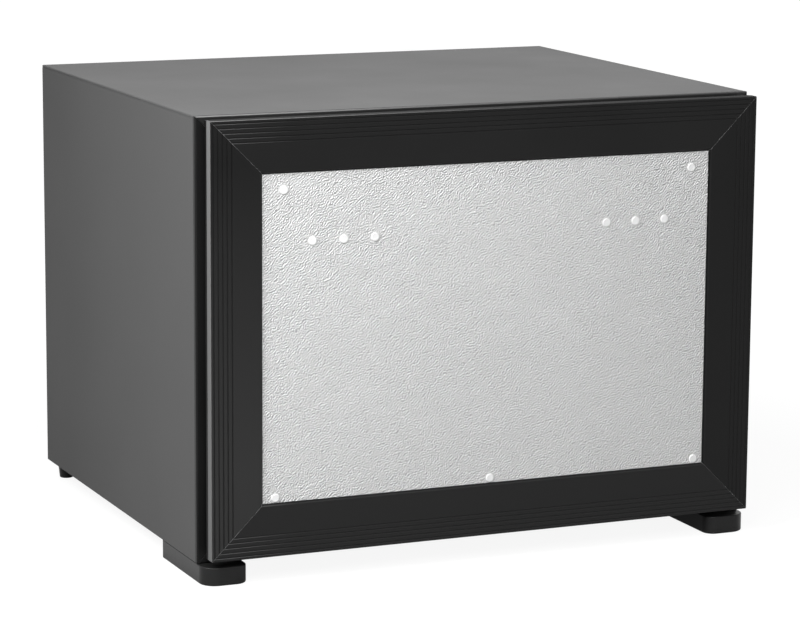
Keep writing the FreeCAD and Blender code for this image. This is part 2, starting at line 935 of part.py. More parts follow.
def front_seal():
    """Hollow magnetic seal with a waist, a magnet pocket and a barb in the frame's slot."""
    y0 = y_frame_back
    y1 = y_trim
    seal = front_ring(seal_inset, seal_width, y0, y1)
    low = y0 + seal_base
    high = low + seal_waist_height
    seal = seal.cut(front_ring(seal_inset - overrun, overrun + seal_waist, low, high))
    seal = seal.cut(front_ring(seal_inset + seal_width - seal_waist, seal_waist + overrun / 2, low, high))
    chamber = seal_waist + seal_wall
    seal = seal.cut(front_ring(seal_inset + chamber, seal_width - 2 * chamber, low, high))
    pocket = magnet_width + 2 * hole_gap
    inset = seal_inset + (seal_width - pocket) / 2
    top = y1 - seal_wall
    seal = seal.cut(front_ring(inset, pocket, top - magnet_height - 2 * hole_gap, top))
    inset = seal_inset + (seal_width - seal_stem) / 2
    tip = y0 - frame_wall - seat_gap - seal_barb_height
    seal = seal.fuse(front_ring(inset, seal_stem, tip, y0 + seal_base / 2))
    inset = seal_inset + (seal_width - seal_barb) / 2
    seal = seal.fuse(front_ring(inset, seal_barb, tip, tip + seal_barb_height))
    return seal.removeSplitter()


def seal_magnets():
    """Flexible magnet strips in the seal's pocket."""
    inset = seal_inset + (seal_width - magnet_width) / 2
    y1 = y_trim - seal_wall - hole_gap
    return four_bars(inset, magnet_width, y1 - magnet_height, y1, hole_gap)


def front_foot():
    """Moulded block under the cabinet's left front corner that reaches under the drawer front."""
    x0 = -x_side
    x1 = x0 + front_foot_width
    y0 = y_front + front_foot_setback
    y1 = y0 + front_foot_length
    outline = [
        (x0, y0, front_foot_outer_corner),
        (x1, y0, front_foot_inner_corner),
        (x1, y1, front_foot_back_corner),
        (x0, y1, front_foot_back_corner),
    ]
    foot = prism(outline, on_xy(0), V(0, 0, foot_height))
    rim = [e for e in foot.Edges if e.BoundBox.ZMax < front_foot_edge]
    foot = foot.makeFillet(front_foot_edge, rim)
    top_rim = [e for e in foot.Edges if e.BoundBox.ZMin > foot_height - front_foot_edge]
    toe = foot.makeFillet(front_foot_top_edge, top_rim)
    seat = foot.common(box(x0, x1, y_trim, y1, 0, foot_height))
    return drilled_foot(toe.fuse(seat).removeSplitter(), foot_screw_places()[:2])


def rear_foot():
    """Round foot under the left rear corner."""
    x, y = foot_screw_places()[2]
    foot = taper(rear_foot_base_radius, rear_foot_top_radius, V(x, y, 0), V(x, y, foot_height))
    rim = [e for e in foot.Edges if e.Closed and e.BoundBox.ZMax < rear_foot_edge]
    return drilled_foot(foot.makeFillet(rear_foot_edge, rim), foot_screw_places()[2:])


def drilled_foot(foot, places):
    """A foot with a counterbored hole for each screw."""
    for x, y in places:
        shelf = V(x, y, foot_height - foot_web)
        foot = foot.cut(rod(foot_counterbore, V(x, y, -overrun), shelf))
        foot = foot.cut(rod(foot_screw_radius + hole_gap, shelf, V(x, y, foot_height + overrun)))
    return foot


def foot_screws():
    """Screws that hold the feet to the base."""
    reach = foot_web + foot_screw_reach
    seats = [V(x, y, foot_height - foot_web) for x, y in both(foot_screw_places())]
    up = V(0, 0, 1)
    return [screw(foot_screw_head_radius, foot_screw_head, foot_screw_radius, s, up, reach) for s in seats]


def race_values():
    """Half heights of the runner's three channels, and the heights of its two rows of balls."""
    outer_inside = runner_height / 2 - runner_sheet
    large_row = outer_inside - (large_ball / 2 - race_depth + ball_gap)
    middle_half = large_row - (large_ball / 2 - race_depth + ball_gap)
    middle_inside = middle_half - runner_sheet
    small_row = middle_inside - (small_ball / 2 - race_depth + ball_gap)
    inner_half = small_row - (small_ball / 2 - race_depth + ball_gap)
    return middle_half, inner_half, large_row, small_row


def channel(web_start, web_end, lip_start, lip_end, half):
    """A straight channel along the left wall. The first four sizes are distances from the wall."""
    inside = half - runner_sheet
    near = min(web_start, lip_start)
    far = max(web_end, lip_end)
    y0 = y_runner
    y1 = y0 + runner_length
    whole = box(-x_cavity + near, -x_cavity + far, y0, y1, z_runner - half, z_runner + half)
    if lip_end > web_end:
        hollow = (web_end, far + overrun)
    else:
        hollow = (near - overrun, web_start)
    x0 = -x_cavity + hollow[0]
    x1 = -x_cavity + hollow[1]
    return whole.cut(box(x0, x1, y0 - overrun, y1 + overrun, z_runner - inside, z_runner + inside))


def races(from_wall, row, ball):
    """Cutters for one pair of ball races."""
    radius = ball / 2 + ball_gap
    x = -x_cavity + from_wall
    cutters = []
    for side in (-1, 1):
        start = V(x, y_runner - overrun, z_runner + side * row)
        cutters.append(rod(radius, start, start + V(0, runner_length + 2 * overrun, 0)))
    return cutters


def runner_outer():
    """Fixed channel of the left runner, with countersunk screw holes."""
    member = channel(0, runner_sheet, 0, outer_lip_reach, runner_height / 2)
    for cutter in races(large_ball_from_wall, race_values()[2], large_ball):
        member = member.cut(cutter)
    for y in runner_screw_ys():
        face = V(-x_cavity + runner_sheet, y, z_runner)
        back = face - V(runner_sheet, 0, 0)
        member = member.cut(taper(runner_screw_head + hole_gap, runner_screw_radius + hole_gap, face, back))
    return member


def runner_middle():
    """Intermediate channel of the left runner."""
    start = runner_sheet + runner_web_gap
    middle_half, inner_half, large_row, small_row = race_values()
    member = channel(start, start + runner_sheet, start, middle_lip_reach, middle_half)
    cutters = races(large_ball_from_wall, large_row, large_ball)
    cutters += races(small_ball_from_wall, small_row, small_ball)
    for cutter in cutters:
        member = member.cut(cutter)
    return member


def rivet_face(y):
    """Centre of a rivet's head on the left rail's inner face."""
    return V(-x_rail, y, z_runner)


def runner_inner():
    """Channel of the left runner that is fixed to the drawer."""
    inner_half = race_values()[1]
    web = runner_thickness - runner_sheet
    member = channel(web, runner_thickness, inner_lip_start, runner_thickness, inner_half)
    for cutter in races(small_ball_from_wall, race_values()[3], small_ball):
        member = member.cut(cutter)
    for y in runner_screw_ys():
        start = rivet_face(y)
        end = start - V(rail_sheet + runner_sheet + overrun, 0, 0)
        member = member.cut(rod(rail_rivet_radius + hole_gap / 2, start, end))
    return member


def ball_cage(web_start, row, ball, from_wall):
    """Bent cage of the left runner and the balls that it spaces, as separate solids."""
    half = row + cage_strip / 2
    reach = from_wall + ball / 2 - hole_gap
    y0 = y_runner + cage_start
    x0 = -x_cavity + web_start
    outline = [
        (x0, z_runner - half),
        (-x_cavity + reach, z_runner - half),
        (-x_cavity + reach, z_runner - half + cage_strip),
        (x0 + cage_sheet, z_runner - half + cage_strip),
        (x0 + cage_sheet, z_runner + half - cage_strip),
        (-x_cavity + reach, z_runner + half - cage_strip),
        (-x_cavity + reach, z_runner + half),
        (x0, z_runner + half),
    ]
    cage = prism(outline, on_xz(y0), V(0, cage_length, 0))
    first = y0 + (cage_length - (balls_in_row - 1) * ball_pitch) / 2
    balls = []
    for side in (-1, 1):
        for i in range(balls_in_row):
            centre = V(-x_cavity + from_wall, first + i * ball_pitch, z_runner + side * row)
            rise = V(0, 0, cage_strip)
            cage = cage.cut(rod(ball / 2 + hole_gap / 2, centre - rise, centre + rise))
            balls.append(Part.makeSphere(ball / 2, centre))
    return [cage, *balls]


def large_cage():
    """Cage between the fixed channel and the middle one."""
    start = runner_sheet + (runner_web_gap - cage_sheet) / 2
    return ball_cage(start, race_values()[2], large_ball, large_ball_from_wall)


def small_cage():
    """Cage between the middle channel and the inner one."""
    start = 2 * runner_sheet + runner_web_gap + cage_play
    return ball_cage(start, race_values()[3], small_ball, small_ball_from_wall)


def runner_screws():
    """Countersunk screws that hold the fixed channels to the foamed-in plates."""
    screws = []
    sizes = (runner_screw_head, runner_sheet, runner_screw_radius)
    for y in runner_screw_ys():
        face = V(-x_cavity + runner_sheet, y, z_runner)
        one = flush_screw(*sizes, face, V(-1, 0, 0), runner_screw_reach)
        screws += [one, mirrored(one)]
    return screws


def runner_anchors():
    """The two foamed-in plates behind the liner, with screw holes."""
    plate = anchor_envelope()
    for y in runner_screw_ys():
        start = V(-x_cavity, y, z_runner)
        end = start - V(liner_wall + anchor_thickness + overrun, 0, 0)
        plate = plate.cut(rod(runner_screw_radius + hole_gap, start, end))
    return [plate, mirrored(plate)]


def rail_bottom():
    """Lower edge of the side rails."""
    return z_runner - rail_drop


def side_rail():
    """Left rail: an upright web along the runner and a tab screwed to the drawer front."""
    x0 = -x_rail - rail_sheet
    low = rail_bottom()
    web = box(x0, -x_rail, y_frame_back, y_runner + runner_length, low, tub_top)
    tab = box(x0 - rail_tab, -x_rail, y_frame_back, y_frame_back + rail_sheet, low, tub_top)
    rail = web.fuse(tab)
    for y in runner_screw_ys():
        start = rivet_face(y)
        end = start - V(rail_sheet, 0, 0)
        rail = rail.cut(taper(rail_rivet_head + hole_gap / 2, rail_rivet_radius + hole_gap / 2, start, end))
    for z in tab_screw_places():
        start = V(tab_screw_x(), y_frame_back - overrun, z)
        rail = rail.cut(rod(rail_screw_radius + hole_gap, start, start + V(0, 2 * overrun, 0)))
    return rail.removeSplitter()


def rail_rivets():
    """Flush rivets through the rails and the inner channels."""
    rivets = []
    reach = rail_sheet + runner_sheet + rail_rivet_reach
    for y in runner_screw_ys():
        away = V(-1, 0, 0)
        one = flush_screw(rail_rivet_head, rail_sheet, rail_rivet_radius, rivet_face(y), away, reach)
        rivets += [one, mirrored(one)]
    return rivets


def rail_screws():
    """Screws through the rail tabs into the drawer front."""
    screws = []
    reach = rail_sheet + rail_screw_reach
    for z in tab_screw_places():
        seat = V(tab_screw_x(), y_frame_back + rail_sheet, z)
        away = V(0, -1, 0)
        one = screw(rail_screw_head, rail_screw_head_height, rail_screw_radius, seat, away, reach)
        screws += [one, mirrored(one)]
    return screws


def drawer_tub():
    """Moulded tub that hangs by its rim on the side rails."""
    tub = rounded_box(-tub_half, tub_half, y_tub, y_tub_back, tub_bottom, tub_top, tub_corner, 2, False)
    x_rim = tub_half + tub_rim_side
    y0 = y_tub - tub_rim_end
    y1 = y_tub_back + tub_rim_end
    rim = rectangle(-x_rim, x_rim, y0, y1, tub_rim_corner)
    tub = tub.fuse(prism(rim, on_xy(tub_top), V(0, 0, tub_rim)))
    for x0 in (-x_rim, x_rim - tub_rim):
        low = tub_top - tub_rim_drop
        ends = (y0 + tub_rim_corner, y1 - tub_rim_corner)
        tub = tub.fuse(box(x0, x0 + tub_rim, ends[0], ends[1], low, tub_top + tub_rim / 2))
    inner = tub_half - tub_wall
    hollow = rounded_box(
        -inner,
        inner,
        y_tub + tub_wall,
        y_tub_back - tub_wall,
        tub_bottom + tub_wall,
        tub_top + tub_rim + overrun,
        tub_corner - tub_wall,
        2,
        False,
    )
    tub = tub.cut(hollow)
    first = tub_rib_margin - tub_half
    pitch = -2 * first / (tub_rib_count - 1)
    for i in range(tub_rib_count):
        x = first + i * pitch
        y_ends = (y_tub + tub_corner, y_tub_back - tub_corner)
        top = tub_bottom + tub_wall + tub_rib_height
        tub = tub.fuse(box(x, x + tub_rib_width, y_ends[0], y_ends[1], tub_bottom + tub_wall / 2, top))
    return tub.removeSplitter()


def divider(x):
    """Upright plate across the tub, hooked over its front and back walls."""
    y0 = y_tub + tub_wall + divider_end_gap
    y1 = y_tub_back - tub_wall - divider_end_gap
    seat = tub_top + tub_rim + seat_gap
    top = seat + divider_sheet
    low = top - divider_height
    plate = [(y0, low, divider_corner), (y1, low, divider_corner), (y1, top), (y0, top)]
    window = rectangle(
        y0 + divider_window_margin,
        y1 - divider_window_margin,
        top - divider_window_margin - divider_window_height,
        top - divider_window_margin,
        divider_window_corner,
    )
    solid = prism(plate, on_yz(x - divider_sheet / 2), V(divider_sheet, 0, 0), [window])
    half = divider_hook_width / 2
    for start, end in ((y0 - divider_hook, y0 + divider_sheet), (y1 - divider_sheet, y1 + divider_hook)):
        solid = solid.fuse(box(x - half, x + half, start, end, seat, top))
    return solid.removeSplitter()


def evaporator():
    """Finned plate on the cavity's back wall."""
    x = evaporator_half
    y0 = y_cavity_back - evaporator_plate
    plate = box(-x, x, y0, y_cavity_back, evaporator_bottom, evaporator_top)
    first = -x + fin_margin
    pitch = (2 * (x - fin_margin) - fin_thickness) / (fin_count - 1)
    low = evaporator_bottom + fin_margin
    high = evaporator_top - fin_margin
    for i in range(fin_count):
        x0 = first + i * pitch
        plate = plate.fuse(box(x0, x0 + fin_thickness, y0 - fin_reach, y0 + evaporator_plate / 2, low, high))
    return plate.removeSplitter()


def evaporator_path():
    """Route of the tube that cools the plate, in by one leg and out by the other."""
    y_in = y_cavity_back + evaporator_tube_radius + seat_gap
    x = plug_half() - evaporator_tube_inset
    middle = (evaporator_top + evaporator_bottom) / 2
    rise = evaporator_tube_bend
    gas = exchanger_inset - plug_half()
    liquid = liquid_inset - plug_half()
    return [
        V(gas, y_rear_wall + plug_flange, middle - rise),
        V(gas, y_in, middle - rise),
        V(x, y_in, middle - rise),
        V(x, y_in, middle + rise),
        V(liquid, y_in, middle + rise),
        V(liquid, y_rear_wall + plug_flange, middle + rise),
    ]


def evaporator_tube():
    """Steel tube that lies against the finned plate inside the insulated block."""
    return pipe(evaporator_path(), evaporator_tube_radius, evaporator_tube_radius * 2)


def evaporator_block():
    """Foam block with a flange that fills the back wall's opening and carries the cooling unit."""
    block = back_opening(0)
    x = plug_half() + plug_flange_margin
    low = evaporator_bottom + evaporator_lip - plug_flange_margin
    high = evaporator_top - evaporator_lip + plug_flange_margin
    window = box(-x, x, y_cavity_back, y_rear_wall, low, high)
    block = block.common(window)
    block = block.fuse(box(-x, x, y_rear_wall, y_rear_wall + plug_flange, low, high))
    grown = evaporator_tube_radius + foam_gap
    groove = pipe(evaporator_path(), grown, evaporator_tube_radius * 2)
    points = evaporator_path()
    block = block.cut(groove)
    for i in range(1, len(points) - 2):
        block = block.cut(groove_to_front(points[i], points[i + 1], grown))
    return max(block.Solids, key=lambda s: s.Volume)


def groove_to_front(start, end, radius):
    """Open side of the tube's groove, so that the tube can be laid in from the front."""
    low = V(min(start.x, end.x) - radius, y_cavity_back - overrun, min(start.z, end.z) - radius)
    high = V(max(start.x, end.x) + radius, start.y, max(start.z, end.z) + radius)
    return box(low.x, high.x, low.y, high.y, low.z, high.z)


def drip_channel():
    """Trough under the evaporator."""
    x = evaporator_half + channel_overhang
    y0 = y_cavity_back - channel_reach
    low = channel_top - channel_height
    trough = box(-x, x, y0, y_cavity_back, low, channel_top)
    wall = channel_wall
    inside = box(-x + wall, x - wall, y0 + wall, y_cavity_back - wall, low + wall, channel_top + overrun)
    return trough.cut(inside).cut(drain_hole(drain_radius + hole_gap))


def drain_path():
    """Route of the drain from the channel to just above the tray."""
    start = drain_point() - V(0, channel_wall, 0)
    y = y_rear_wall + drain_stand
    return [start, V(start.x, y, start.z), V(start.x, y, tray_level() + tray_wall + drain_stand)]


def drain_tube():
    """Small hose from the channel to the evaporation tray."""
    points = drain_path()
    hose = pipe(points, drain_radius, drain_bend)
    return hose.cut(pipe(points, drain_radius - drain_wall, drain_bend))


def tray_level():
    """Underside of the evaporation tray, which sits on two rests over the vessel."""
    return z_vessel + vessel_radius + seat_gap


def drain_tray():
    """Tray over the warm vessel, where the melt water dries off."""
    x = tray_width / 2
    y0 = y_rear_wall + seat_gap
    low = tray_level()
    outline = rectangle(-x, x, y0, y0 + tray_depth, tray_corner)
    tray = prism(outline, on_xy(low), V(0, 0, tray_height))
    inner = rectangle(
        -x + tray_wall, x - tray_wall, y0 + tray_wall, y0 + tray_depth - tray_wall, tray_corner - tray_wall
    )
    return tray.cut(prism(inner, on_xy(low + tray_wall), V(0, 0, tray_height)))


def lamp_planes():
    """Front and rear of the lamp, and its underside."""
    y0 = y_trim + lamp_setback
    return y0, y0 + lamp_depth, z_ceiling - lamp_height


def lamp_housing():
    """Lamp body on the cavity's ceiling, open upwards, with a lens window and a button hole."""
    x = lamp_width / 2
    y0, y1, low = lamp_planes()
    body = prism(rectangle(-x, x, y0, y1, lamp_corner), on_xy(low), V(0, 0, lamp_height))
    inner = rectangle(-x + lamp_wall, x - lamp_wall, y0 + lamp_wall, y1 - lamp_wall, lamp_corner - lamp_wall)
    body = body.cut(prism(inner, on_xy(low + lamp_wall), V(0, 0, lamp_height)))
    body = body.cut(lens_shape(seat_gap, low - overrun, low + lamp_wall + overrun / 2))
    start = V(button_side, (y0 + y1) / 2, low - overrun)
    return body.cut(rod(button_radius + seat_gap / 2, start, start + V(0, 0, 2 * overrun)))


def lens_shape(gap, z0, z1):
    """A block over the lens, grown by a gap."""
    y0, y1, low = lamp_planes()
    middle = (y0 + y1) / 2
    x0 = -lens_side - lens_width / 2 - gap
    x1 = -lens_side + lens_width / 2 + gap
    half = lens_depth / 2 + gap
    return box(x0, x1, middle - half, middle + half, z0, z1)


def lamp_lens():
    """Clear lens with a flange inside the housing."""
    low = lamp_planes()[2]
    lens = lens_shape(0, low - lens_proud, low + lamp_wall)
    ledge = lens_shape(lens_thickness, low + lamp_wall, low + lamp_wall + lens_thickness)
    return lens.fuse(ledge).removeSplitter()


def lamp_board():
    """Circuit board under the ceiling with its light-emitting diodes."""
    x = lamp_width / 2 - lamp_wall - board_margin
    y0, y1, low = lamp_planes()
    inset = lamp_wall + board_margin
    under = z_ceiling - board_thickness
    parts = [box(-x, x, y0 + inset, y1 - inset, under, z_ceiling)]
    y = (y0 + y1) / 2
    first = -lens_side - (led_count - 1) * led_pitch / 2
    half = led_size / 2
    for i in range(led_count):
        centre = first + i * led_pitch
        parts.append(box(centre - half, centre + half, y - half, y + half, under - led_height, under))
    return parts


def temperature_button():
    """Press button that steps the temperature, kept in by its collar."""
    y0, y1, low = lamp_planes()
    y = (y0 + y1) / 2
    stem = rod(button_radius, V(button_side, y, low - button_proud), V(button_side, y, low + button_depth))
    seat = low + lamp_wall + seat_gap
    collar = rod(
        button_radius + button_collar, V(button_side, y, seat), V(button_side, y, seat + button_collar_height)
    )
    rim = [e for e in stem.Edges if e.Closed and e.CenterOfMass.z < low - button_proud / 2]
    return stem.makeFillet(button_collar_height / 2, rim).fuse(collar).removeSplitter()


def absorber_vessel():
    """Horizontal vessel with domed ends, low behind the back panel."""
    x0 = vessel_left
    x1 = vessel_right
    vessel = rod(vessel_radius, V(x0, y_unit, z_vessel), V(x1, y_unit, z_vessel))
    rims = [e for e in vessel.Edges if e.Closed]
    return vessel.makeFillet(vessel_end, rims)


def vessel_cradles():
    """Two upright plates from the back panel that carry the vessel."""
    cradles = []
    top = z_vessel - vessel_radius + cradle_rise
    grown = vessel_radius + seat_gap
    for x in (vessel_left + cradle_inset, vessel_right - cradle_inset - cradle_thickness):
        y1 = y_unit + vessel_radius
        plate = box(x, x + cradle_thickness, y_rear_wall, y1, z_plate, top)
        start = V(x - overrun, y_unit, z_vessel)
        cradles.append(plate.cut(rod(grown, start, start + V(cradle_thickness + 2 * overrun, 0, 0))))
    return cradles


def coil_points():
    """Route of the absorber coil, from its upper end down to the vessel."""
    top = z_vessel + vessel_radius + coil_above_vessel + (coil_passes - 1) * coil_pitch
    points = []
    for i in range(coil_passes):
        level = top - i * coil_pitch
        ends = [(coil_left, level), (coil_right, level - coil_fall)]
        if i % 2:
            ends = [(coil_right, level), (coil_left, level - coil_fall)]
        if i == 0:
            ends.insert(1, (coil_left + coil_bend, level))
        points += [V(x, y_unit, z) for x, z in ends]
    points.append(V(points[-1].x, y_unit, z_vessel))
    points.append(V(vessel_right, y_unit, z_vessel))
    return points


def absorber_coil():
    """Serpentine tube over the vessel."""
    return pipe(coil_points(), coil_radius, coil_bend)


def coil_clips():
    """Two uprights that hold the coil to the back panel."""
    clips = []
    points = coil_points()
    high = points[0].z + coil_radius + clip_edge
    low = points[2 * coil_passes].z - coil_radius - clip_edge
    for x in (coil_left + coil_pitch, coil_right - coil_pitch):
        y0 = y_unit - coil_radius - seat_gap - clip_sheet
        strip = box(x, x + clip_width, y0, y0 + clip_sheet, low, high)
        for z0 in (low, high - clip_sheet):
            strip = strip.fuse(box(x, x + clip_width, y_rear_wall, y0 + clip_sheet, z0, z0 + clip_sheet))
        clips.append(strip.removeSplitter())
    return clips


def condenser_fins():
    """Plates pressed on the condenser tube."""
    fins = []
    half = condenser_fin_width / 2
    low = z_condenser - condenser_fin_height / 2
    high = z_condenser + condenser_fin_height / 2
    outline = rectangle(y_unit - half, y_unit + half, low, high, condenser_fin_corner)
    for i in range(condenser_fin_count):
        x = fins_left + i * condenser_fin_pitch
        fin = prism(outline, on_yz(x), V(condenser_fin_thickness, 0, 0))
        start = V(x - overrun, y_unit, z_condenser)
        end = V(x + overrun, y_unit, z_condenser)
        fins.append(fin.cut(rod(condenser_radius + ball_gap, start, end)))
    return fins


def condenser_brackets():
    """Two plates from the back panel that carry the condenser tube."""
    brackets = []
    rise = condenser_radius + clip_edge
    for x in ((condenser_left + fins_left) / 2, fins_right):
        y1 = y_unit + rise
        plate = box(x, x + clip_sheet, y_rear_wall, y1, z_condenser - rise, z_condenser + rise)
        start = V(x - overrun, y_unit, z_condenser)
        end = V(x + clip_sheet + overrun, y_unit, z_condenser)
        brackets.append(plate.cut(rod(condenser_radius + hole_gap, start, end)))
    return brackets


def boiler_levels():
    """Underside and top of the boiler's jacket."""
    low = z_plate + boiler_rise
    return low, low + boiler_height


def boiler_jacket():
    """Sheet box round the boiler, fixed to the back panel."""
    low, high = boiler_levels()
    half = boiler_width / 2
    y1 = y_rear_wall + boiler_depth
    jacket = box(boiler_side - half, boiler_side + half, y_rear_wall, y1, low, high)
    jacket = jacket.cut(jacket_inside(0))
    for x, radius in ((boiler_side, boiler_tube_radius), (boiler_side + heater_offset, heater_radius)):
        start = V(x, y_unit, low - overrun)
        jacket = jacket.cut(rod(radius + hole_gap, start, start + V(0, 0, 2 * overrun)))
    top = V(boiler_side, y_unit, high + overrun)
    return jacket.cut(rod(boiler_tube_radius + hole_gap, top, top - V(0, 0, 2 * overrun)))


def jacket_inside(gap):
    """The space inside the boiler's jacket."""
    low, high = boiler_levels()
    inset = boiler_sheet + gap
    half = boiler_width / 2 - inset
    y0 = y_rear_wall + inset
    y1 = y_rear_wall + boiler_depth - inset
    return box(boiler_side - half, boiler_side + half, y0, y1, low + inset, high - inset)


def boiler_axis(offset):
    """A point on the boiler's axis, at floor level, moved sideways by an offset."""
    return V(boiler_side + offset, y_unit, 0)


def boiler_and_condenser():
    """Boiler tube, the thinner rectifier above it, the condenser tube and the liquid line, welded."""
    low, high = boiler_levels()
    foot = boiler_axis(0) + V(0, 0, low - boiler_foot)
    head = boiler_axis(0) + V(0, 0, high + boiler_neck)
    body = rod(boiler_tube_radius, foot, head)
    body = body.makeFillet(boiler_tube_radius / 2, [e for e in body.Edges if e.Closed])
    right = V(condenser_right, y_unit, z_condenser)
    left = V(condenser_left, y_unit, z_condenser)
    rectifier = pipe([head, V(head.x, head.y, z_condenser), right], rectifier_radius, condenser_bend)
    inlet = evaporator_path()[-1]
    x = condenser_left - condenser_bend
    route = [
        left,
        V(x, y_unit, z_condenser),
        V(x, y_unit, inlet.z),
        V(inlet.x, y_unit, inlet.z),
        inlet,
    ]
    line = pipe(route, liquid_radius, liquid_bend)
    return body.fuse([rectifier, rod(condenser_radius, left, right), line]).removeSplitter()


def boiler_wool():
    """Mineral wool that fills the jacket."""
    wool = jacket_inside(foam_gap)
    low, high = boiler_levels()
    axis = boiler_axis(0)
    wool = wool.cut(rod(boiler_tube_radius + hole_gap, axis + V(0, 0, low), axis + V(0, 0, high)))
    axis = boiler_axis(heater_offset)
    top = V(0, 0, low + heater_depth + hole_gap)
    return wool.cut(rod(heater_radius + hole_gap, axis + V(0, 0, low), axis + top))


def vessel_and_pump_line():
    """The vessel and the thin tube that takes the rich solution from it to the boiler's foot."""
    start = V(vessel_right, y_unit, z_vessel - pump_drop)
    end = boiler_axis(0) + V(0, 0, boiler_levels()[0] - boiler_foot)
    level = z_plate + pump_level
    x = vessel_right + pump_reach
    route = [start, V(x, y_unit, start.z), V(x, y_unit, level), V(end.x, end.y, level), end]
    return absorber_vessel().fuse(pipe(route, pump_radius, pump_bend)).removeSplitter()


def gas_exchanger():
    """Wide tube from the insulated block down to the coil's upper end."""
    outlet = evaporator_path()[0]
    upper = coil_points()[0]
    route = [
        outlet,
        V(outlet.x, y_unit, outlet.z),
        V(coil_left - coil_pitch, y_unit, outlet.z),
        V(coil_left - coil_pitch, y_unit, upper.z),
        upper,
    ]
    return pipe(route, exchanger_radius, exchanger_bend)


def control_planes():
    """Left, right, underside and top of the control box."""
    half = control_width / 2
    low = z_plate + control_rise
    return control_side - half, control_side + half, low, low + control_height


def inlet_centre():
    """Centre of the mains inlet on the control box's lid."""
    x0, x1, low, high = control_planes()
    return V((x0 + x1) / 2 - inlet_side, y_rear_wall + control_depth, (low + high) / 2)


def control_box():
    """Moulded box on the back panel, open to the rear."""
    x0, x1, low, high = control_planes()
    y1 = y_rear_wall + control_depth - control_lid
    wall = control_wall
    body = prism(rectangle(x0, x1, low, high, control_corner), on_xz(y_rear_wall), V(0, y1 - y_rear_wall, 0))
    inner = rectangle(x0 + wall, x1 - wall, low + wall, high - wall, control_corner - wall)
    body = body.cut(prism(inner, on_xz(y_rear_wall + wall), V(0, control_depth, 0)))
    start = lead_start() - V(0, 0, overrun)
    return body.cut(rod(lead_radius + hole_gap, start, start + V(0, 0, 2 * overrun)))


def control_cover():
    """Lid of the control box, with the opening for the inlet."""
    x0, x1, low, high = control_planes()
    y1 = y_rear_wall + control_depth
    y0 = y1 - control_lid
    lid = prism(rectangle(x0, x1, low, high, control_corner), on_xz(y0), V(0, control_lid, 0))
    wall = control_wall + seat_gap
    lip = rectangle(x0 + wall, x1 - wall, low + wall, high - wall, control_corner - control_wall)
    deep = wall + control_lid_lip
    hollow = rectangle(x0 + deep, x1 - deep, low + deep, high - deep)
    lid = lid.fuse(prism(lip, on_xz(y0 - control_lid_lip), V(0, control_lid_lip, 0), [hollow]))
    return lid.cut(inlet_shape(seat_gap, y0 - overrun, y1 + overrun)).removeSplitter()


def inlet_shape(gap, y0, y1):
    """The inlet body's outline as a block."""
    centre = inlet_centre()
    half = inlet_width / 2 + gap
    rise = inlet_height / 2 + gap
    outline = rectangle(centre.x - half, centre.x + half, centre.z - rise, centre.z + rise, inlet_corner)
    return prism(outline, on_xz(y0), V(0, y1 - y0, 0))


def mains_inlet():
    """Appliance inlet with three flat pins, as separate solids in one node."""
    centre = inlet_centre()
    y1 = centre.y + inlet_flange_thickness
    y0 = y1 - inlet_depth
    body = inlet_shape(0, y0, y1).fuse(inlet_shape(inlet_flange, centre.y, y1))
    body = body.cut(inlet_shape(-inlet_wall, y0 + inlet_wall, y1 + overrun))
    pins = []
    places = [(-inlet_pin_pitch, -inlet_pin_rise), (0, inlet_pin_rise), (inlet_pin_pitch, -inlet_pin_rise)]
    start = y0 + inlet_wall
    for x, z in places:
        x0 = centre.x + x - inlet_pin_thickness / 2
        z0 = centre.z + z - inlet_pin_width / 2
        end = start + inlet_pin_reach
        pins.append(box(x0, x0 + inlet_pin_thickness, start, end, z0, z0 + inlet_pin_width))
    return [body.removeSplitter(), *pins]


def lead_start():
    """Where the heater's lead leaves the control box's top."""
    foot = heater_foot()
    return V(foot.x, foot.y, control_planes()[3])


def heater_foot():
    """Underside of the heater cartridge."""
    return boiler_axis(heater_offset) + V(0, 0, boiler_levels()[0] - heater_drop)


def heater_cartridge():
    """Electric heater in the jacket, with the short insulated lead from its foot to the control box."""
    axis = boiler_axis(heater_offset)
    cartridge = rod(heater_radius, heater_foot(), axis + V(0, 0, boiler_levels()[0] + heater_depth))
    lead = rod(lead_radius, lead_start() - V(0, 0, control_wall), heater_foot())
    return cartridge.fuse(lead).removeSplitter()


def save(name, shape):
    """Writes one sub-part, which may be several separate solids, as parts/NAME.step."""
    shapes = shape if isinstance(shape, list) else [shape]
    solids = [solid for one in shapes for solid in one.Solids]
    for solid in solids:
        if not solid.isValid() or solid.Volume <= 0:
            raise ValueError(name + " has a solid that isn't valid")
    whole = solids[0] if len(solids) == 1 else Part.makeCompound(solids)
    whole.exportStep("parts/" + name + ".step")
    print(name, len(solids), round(sum(solid.Volume for solid in solids)))


def pair(shape):
    """A piece, which may be several solids, together with its mirror image on the right."""
    shapes = shape if isinstance(shape, list) else [shape]
    return shapes + [mirrored(one) for one in shapes]


def save_all(prefix, shapes):
    """Writes each named shape as a sub-part of its own."""
    for name, shape in shapes.items():
        save(prefix + name, shape)


def save_cabinet():
    """The insulated cabinet with its trim, feet and fixed runner members."""
    save("cabinet_wrap", cabinet_wrap())
    save("base_plate", base_plate())
    save("back_panel", back_panel())
    save("cabinet_foam", cabinet_foam())
    save("inner_liner", inner_liner())
    save_all("cabinet_trim_", cabinet_trim())
    save("seal_strips", seal_strips())
    save("front_feet", pair(front_foot()))
    save("rear_feet", pair(rear_foot()))
    save("foot_screws", foot_screws())
    save("runner_anchor_plates", runner_anchors())
    save("runner_outer_channels", pair(runner_outer()))
    save("runner_screws", runner_screws())


